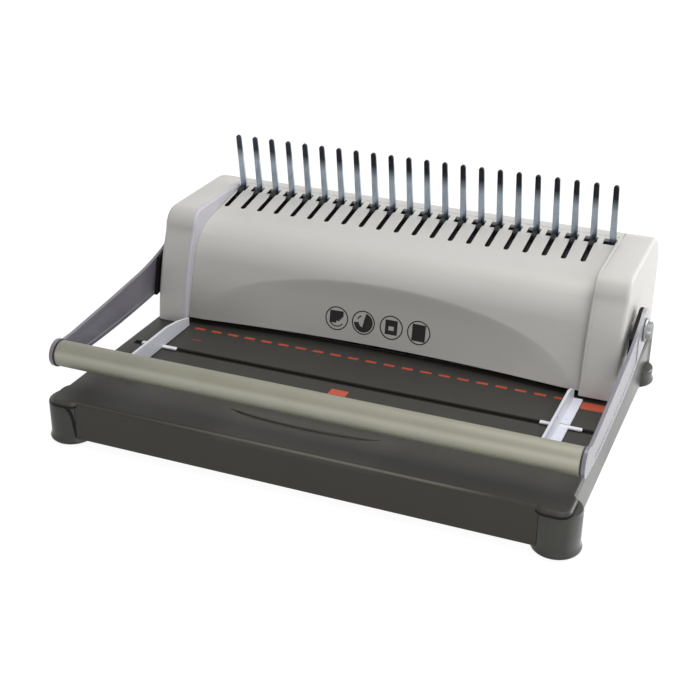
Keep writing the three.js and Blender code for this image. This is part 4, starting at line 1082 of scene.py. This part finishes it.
def make_corner_shadow(side):
    """Painted shadow: a dark band in the joint between a front boot and the corner of the deck above it."""
    outer, front = half_width + corner_reach[0] + corner_proud, -half_depth - corner_reach[1] - corner_proud
    inner, back, r = outer - 23.9, front + 27.9, 8.3
    corners = ((outer - r, back - r), (inner + r, back - r), (inner + r, front + r), (outer - r, front + r))
    outline = []
    for i, (x, y) in enumerate(corners):
        start = i * pi / 2
        outline += arc(x, y, r, start, start + pi / 2, 10)
    band = prism_z([(side * x, y) for x, y in outline], 30.85, 32.3)
    return new_object(f"corner_shadow_{side_word[side]}", band, 35)


def make_boot_shadow():
    """Painted shadow: a dark band along the curved joint on the side of the left front boot; its path is
    given as (angle in degrees, height).
    """
    path = smooth_run([
        (12, 31.2), (22, 30.2), (30, 27.0), (35.2, 22.0), (38.0, 15.5), (40.5, 10.2), (42.4, 6.0), (43, 4.6),
    ])
    inner, outer = foot_radius + 0.05 - 0.8, foot_radius + 0.05 + 0.12
    loops = []
    for i, (turn, z) in enumerate(path):
        width = 1.15 * min(1, 0.35 + i / 8)
        a, b = radians(turn - width * 3.2), radians(turn + width * 3.2)
        loops.append([
            (-foot_x + r * sin(angle), foot_front_y - r * cos(angle), z + dz * width)
            for angle, r, dz in ((a, inner, -0.5), (a, outer, -0.5), (b, outer, 0.5), (b, inner, 0.5))
        ])
    return new_object("boot_shadow_left", loft_bm(loops), 40)


# Tines
tine_lean = atan(0.163)
tine_thick = 1.8
tine_tip_radius = 1.95
tine_base_half = 2.6
comb_low_z = 73.0
comb_top_z = 110.5
tine_tip_z = 161.52


def make_tines():
    """The comb's leaning sheet, drawn flat and then stood up."""
    def along(z):
        return (z - tine_foot[1]) / cos(tine_lean)

    top, tip, low = along(comb_top_z), along(tine_tip_z), along(comb_low_z)
    half = frame_inner - panel_gap
    outline = [(-half, low), (half, low), (half, top)]
    for i in range(tines - 1, -1, -1):
        x = tine_x(i)
        outline.append((min(x + tine_base_half, half - 0.3), top))
        outline += arc(x, tip - tine_tip_radius, tine_tip_radius, 0, pi, 10)
        outline.append((max(x - tine_base_half, -half + 0.3), top))
    outline.append((-half, top))
    bm = prism_z(outline, 0, tine_thick)
    for v in bm.verts:
        x, up, out = v.co.x / MM, v.co.y / MM, v.co.z / MM - tine_thick / 2
        y = tine_foot[0] - up * sin(tine_lean) - out * cos(tine_lean)
        z = tine_foot[1] + up * cos(tine_lean) - out * sin(tine_lean)
        v.co = Vector((x, y, z)) * MM
    comb = new_object("tine_comb_sheet", bm)
    ease(comb, 0.35, 3, 40, 50)
    return comb


# Paper guides
guide_wall = 2
guide_front = groove_y - 49
guide_back = groove_y + 40
guide_corner = 4.0
guide_lift = 0.4
flange_height = 1.6


def make_guide(side):
    """An upright wall with a flange at its foot and a notch over the slider's bar."""
    z0, z1 = deck_z + guide_lift, deck_z + (13.4 if side < 0 else 14.8)
    taper = 32.0 if side < 0 else 15.0
    outline = [
        (guide_front, z0), (guide_back, z0), (guide_back, z1 - 6.4), (guide_back - taper / 2, z1 - 2.3),
        (guide_back - taper, z1),
    ]
    outline += arc(guide_front + guide_corner, z1 - guide_corner, guide_corner, pi / 2, pi, 8)
    start = row_half if side > 0 else -row_half - guide_wall
    guide = new_object(f"guide_wall_{side_word[side]}", prism_x(outline, start, start + guide_wall))
    ease(guide, 0.45, 3)
    flange_start = start + 0.8 if side > 0 else start - 6.4
    flange_box = (flange_start, flange_start + 7.6, guide_front, guide_back, z0, z0 + flange_height)
    flange = new_object("flange", box_bm(*flange_box))
    ease(flange, 0.45, 3)
    combine(guide, [flange], "UNION")
    notch = box_bm(-200, 200, groove_y - 3.2, groove_y + 1.2, deck_z, deck_z + 2.1)
    combine(guide, [new_object("notch", notch)])
    soften(guide, 40)
    weigh_normals(guide)
    return guide


def make_slider(side):
    """A flat bar in the groove; its stem and shoe run under the deck."""
    def block(name, half, front, back, low, high):
        box = box_bm(x - half, x + half, groove_y + front, groove_y + back, deck_z + low, deck_z + high)
        return new_object(f"{name}_{side_word[side]}", box)

    x = side * (row_half + 3.0)
    bar = block("slider", 14.5, -3.0, 0.6, 0.4, 1.9)
    ease(bar, 0.5, 3)
    stem = block("slider_stem", 12, -1.35, 1.35, -3.4, 0.6)
    shoe = block("slider_shoe", 14, -6, 6, -5.9, -3.3)
    ease(shoe, 0.4, 2)
    return bar, stem, shoe


# Printing
dash_pitch = 14.13
dash_shift = 1.5
dash_half = 4.2
groove_half = 1.7
groove_print_half = 174.5
sign_x = (-34.2, -13.0, 9.1, 30.7)
sign_z = 55.3


def flat_print(name, polygons, place, thickness=0.07):
    """Thin ink on a surface: place maps a drawing point and a height to a point."""
    bm = bmesh.new()
    for polygon in polygons:
        top = [bm.verts.new(Vector(place(u, v, thickness)) * MM) for u, v in polygon]
        low = [bm.verts.new(Vector(place(u, v, 0.0)) * MM) for u, v in polygon]
        bm.faces.new(top)
        bm.faces.new(low[::-1])
        join_rings(bm, low, top)
    return new_object(name, bm)


def on_deck(x, y, h):
    return (x, y, deck_z + h)


def on_cover(x, z, h):
    e = 0.05
    dx = (cover_y(x + e, z) - cover_y(x - e, z)) / (2 * e)
    dz = (cover_y(x, z + e) - cover_y(x, z - e)) / (2 * e)
    n = Vector((dx, -1, dz)).normalized()
    return tuple(Vector((x, cover_y(x, z), z)) + n * (h - 0.02))


def rect(x0, x1, y0, y1):
    return [(x0, y0), (x1, y0), (x1, y1), (x0, y1)]


def ring_quads(x, y, r0, r1, start=0.0, end=2 * pi, steps=48):
    """A ring, or a piece of one, in quads."""
    inner, outer = arc(x, y, r0, start, end, steps), arc(x, y, r1, start, end, steps)
    return [[inner[k], outer[k], outer[k + 1], inner[k + 1]] for k in range(steps)]


def grid_quads(x0, x1, y0, y1, nx, ny, keep=None):
    """A rectangle in small quads, less those whose middle fails keep."""
    quads = []
    for i in range(nx):
        for j in range(ny):
            a, b = x0 + (x1 - x0) * i / nx, x0 + (x1 - x0) * (i + 1) / nx
            c, d = y0 + (y1 - y0) * j / ny, y0 + (y1 - y0) * (j + 1) / ny
            if keep is None or keep((a + b) / 2, (c + d) / 2):
                quads.append(rect(a, b, c, d))
    return quads


def sign_marks():
    """Generic signs: a cut square, a broken ring, a pierced square and a plain one."""
    z = sign_z
    x = sign_x[0]
    marks = grid_quads(
        x - 5.6, x + 5.2, z - 3.6, z + 5.8, 8, 6, lambda a, b: b - sign_z > -3.0 + 0.75 * (a - sign_x[0]),
    )
    marks += ring_quads(x, z, 5.6, 6.4, -0.8 * pi, -0.2 * pi, 14)
    x = sign_x[1]
    marks += ring_quads(x, z, 0.3, 7.4, -0.55 * pi, 0.42 * pi, 30)
    marks += ring_quads(x, z, 3.6, 7.4, -0.98 * pi, -0.55 * pi, 14)
    marks += ring_quads(x, z, 4.6, 5.6, 0.62 * pi, 0.86 * pi, 8)
    x = sign_x[2]
    marks += grid_quads(
        x - 4.8, x + 4.8, z - 5.4, z + 5.6, 7, 7,
        lambda a, b: abs(b - sign_z) > 1.5 or abs(a - sign_x[2]) > 1.8,
    )
    x = sign_x[3]
    return marks + grid_quads(x - 5.2, x + 5.2, z - 6.4, z + 6.2, 5, 8)


def make_prints():
    """Each print with the key of its ink."""
    dashes = []
    for j in range(slots):
        x = (j - (slots - 1) / 2) * dash_pitch + dash_shift
        dashes.append(rect(x - dash_half, x + dash_half, -3.15, -0.3))
    reach = groove_print_half
    # Painted shadow: dark strips along both edges of the groove.
    groove_shadow_strips = [
        rect(-reach, reach, groove_y - groove_half - 1.4, groove_y - groove_half),
        rect(-reach, reach, groove_y + groove_half, groove_y + groove_half + 1.4),
    ]
    rings = []
    for x in sign_x:
        rings += ring_quads(x, sign_z, 8.2, 9.1)
    return [
        (flat_print("deck_dashes", dashes, on_deck), "red_ink"),
        (flat_print("deck_label", [rect(158.6, 174.8, -10.5, -0.5)], on_deck), "label_ink"),
        (flat_print("deck_mark", [rect(-8.5, 4.4, -59.0, -51.0)], on_deck), "label_ink"),
        (flat_print("deck_size_mark", [rect(-137.2, -129.0, -21.2, -19.4)], on_deck), "faint_ink"),
        (flat_print("deck_groove_shadow", groove_shadow_strips, on_deck, 0.04), "seam"),
        (flat_print("sign_rings", rings, on_cover), "dark_ink"),
        (flat_print("sign_marks", sign_marks(), on_cover), "dark_ink"),
    ]


# Assembly
def dress(obj, key, body, slot, *nodes):
    obj.data.materials.clear()
    obj.data.materials.append(mats[key])
    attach(obj, body)
    if nodes:
        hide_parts(*nodes)


def paint_node(node, mat):
    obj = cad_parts[node]
    if not obj.data.materials:
        obj.data.materials.append(mat)
    for slot in obj.material_slots:
        slot.material = mat


make_camera()
make_world()
make_floor()
make_lights()
mats = make_materials()

dress(make_cover(), "cover", "machine", "housing_plastic", "front_cover")
dress(make_rear_cover(), "housing", "machine", "housing_plastic", "rear_cover")
for side in (-1, 1):
    word = side_word[side]
    dress(make_cap(side), "housing", "machine", "housing_plastic", f"end_cap_{word}")
    # The left rim takes the lilac copy of the housing plastic: painted light.
    dress(make_lip(side), "rim" if side < 0 else "housing", "machine", "housing_plastic")
    dress(make_arm(side), "arm", "handle", "arm_plastic", f"handle_arm_{word}")
    dress(make_collar(side), "tray", "handle", "arm_plastic")
    dress(make_spacer(side), "housing", "handle", "arm_plastic")
    dress(make_spigot(side), "arm", "handle", "arm_plastic")
    dress(make_gap_shadow(side), "seam", "handle", "arm_plastic")
    dress(make_bolt_flange(side), "bolt", "handle", "bright_steel", f"pivot_bolt_{word}")
    dress(make_bolt_head(side), "bolt", "handle", "bright_steel")
    dress(make_guide(side), "guide", f"guide_{word}", "guide_plastic", f"paper_guide_{word}")
    bar, stem, shoe = make_slider(side)
    dress(bar, "slider", f"guide_{word}", "guide_plastic", f"guide_slider_{word}")
    dress(stem, "slider", f"guide_{word}", "guide_plastic")
    dress(shoe, "slider", f"guide_{word}", "guide_plastic")

dress(make_tube(), "tube", "handle", "handle_aluminium", "handle_tube")
for side in (-1, 1):
    for row in (-1, 1):
        foot_node = f"foot_{row_word[row]}_{side_word[side]}"
        dress(make_foot(side, row), "foot", "machine", "foot_plastic", foot_node)

base = copy_of("base_shell", "base_moulding")
soften(base, 33)
weigh_normals(base)
dress(base, "base", "machine", "base_plastic", "base_shell")
panel = copy_of("chip_tray_panel", "tray_front")
ease(panel, 0.4, 2)
dress(panel, "base", "tray", "base_plastic", "chip_tray_panel")
dress(make_tines(), "tine", "machine", "bright_steel", "tine_comb")
for side in (-1, 1):
    dress(make_corner_shadow(side), "seam", "machine", "base_plastic")
dress(make_boot_shadow(), "seam", "machine", "base_plastic")

for obj, ink in make_prints():
    dress(obj, ink, "machine", "base_plastic" if obj.name.startswith("deck") else "housing_plastic")

# CAD pieces that stay as they are
rows, sides = ("front", "rear"), ("left", "right")
kept = {
    "tray": ["chip_tray", "bush_left", "bush_right"],
    "tool_steel": ["die_plate", "punches"],
    "black_steel": ["comb_opener"],
    "dark_steel": [
        "base_floor", "frame_left", "frame_right", "tine_rail", "punch_guide", "paper_stop", "punch_carrier",
        "press_lever_left", "press_lever_right",
    ],
    "steel": ["handle_shaft"] + [f"floor_screw_{r}_{s}" for r in rows for s in (*sides, "middle")],
    "rubber": [f"pad_{r}_{s}" for r in rows for s in sides],
}
for key, nodes in kept.items():
    for node in nodes:
        paint_node(node, mats[key])

scene.view_settings.view_transform = "Standard"
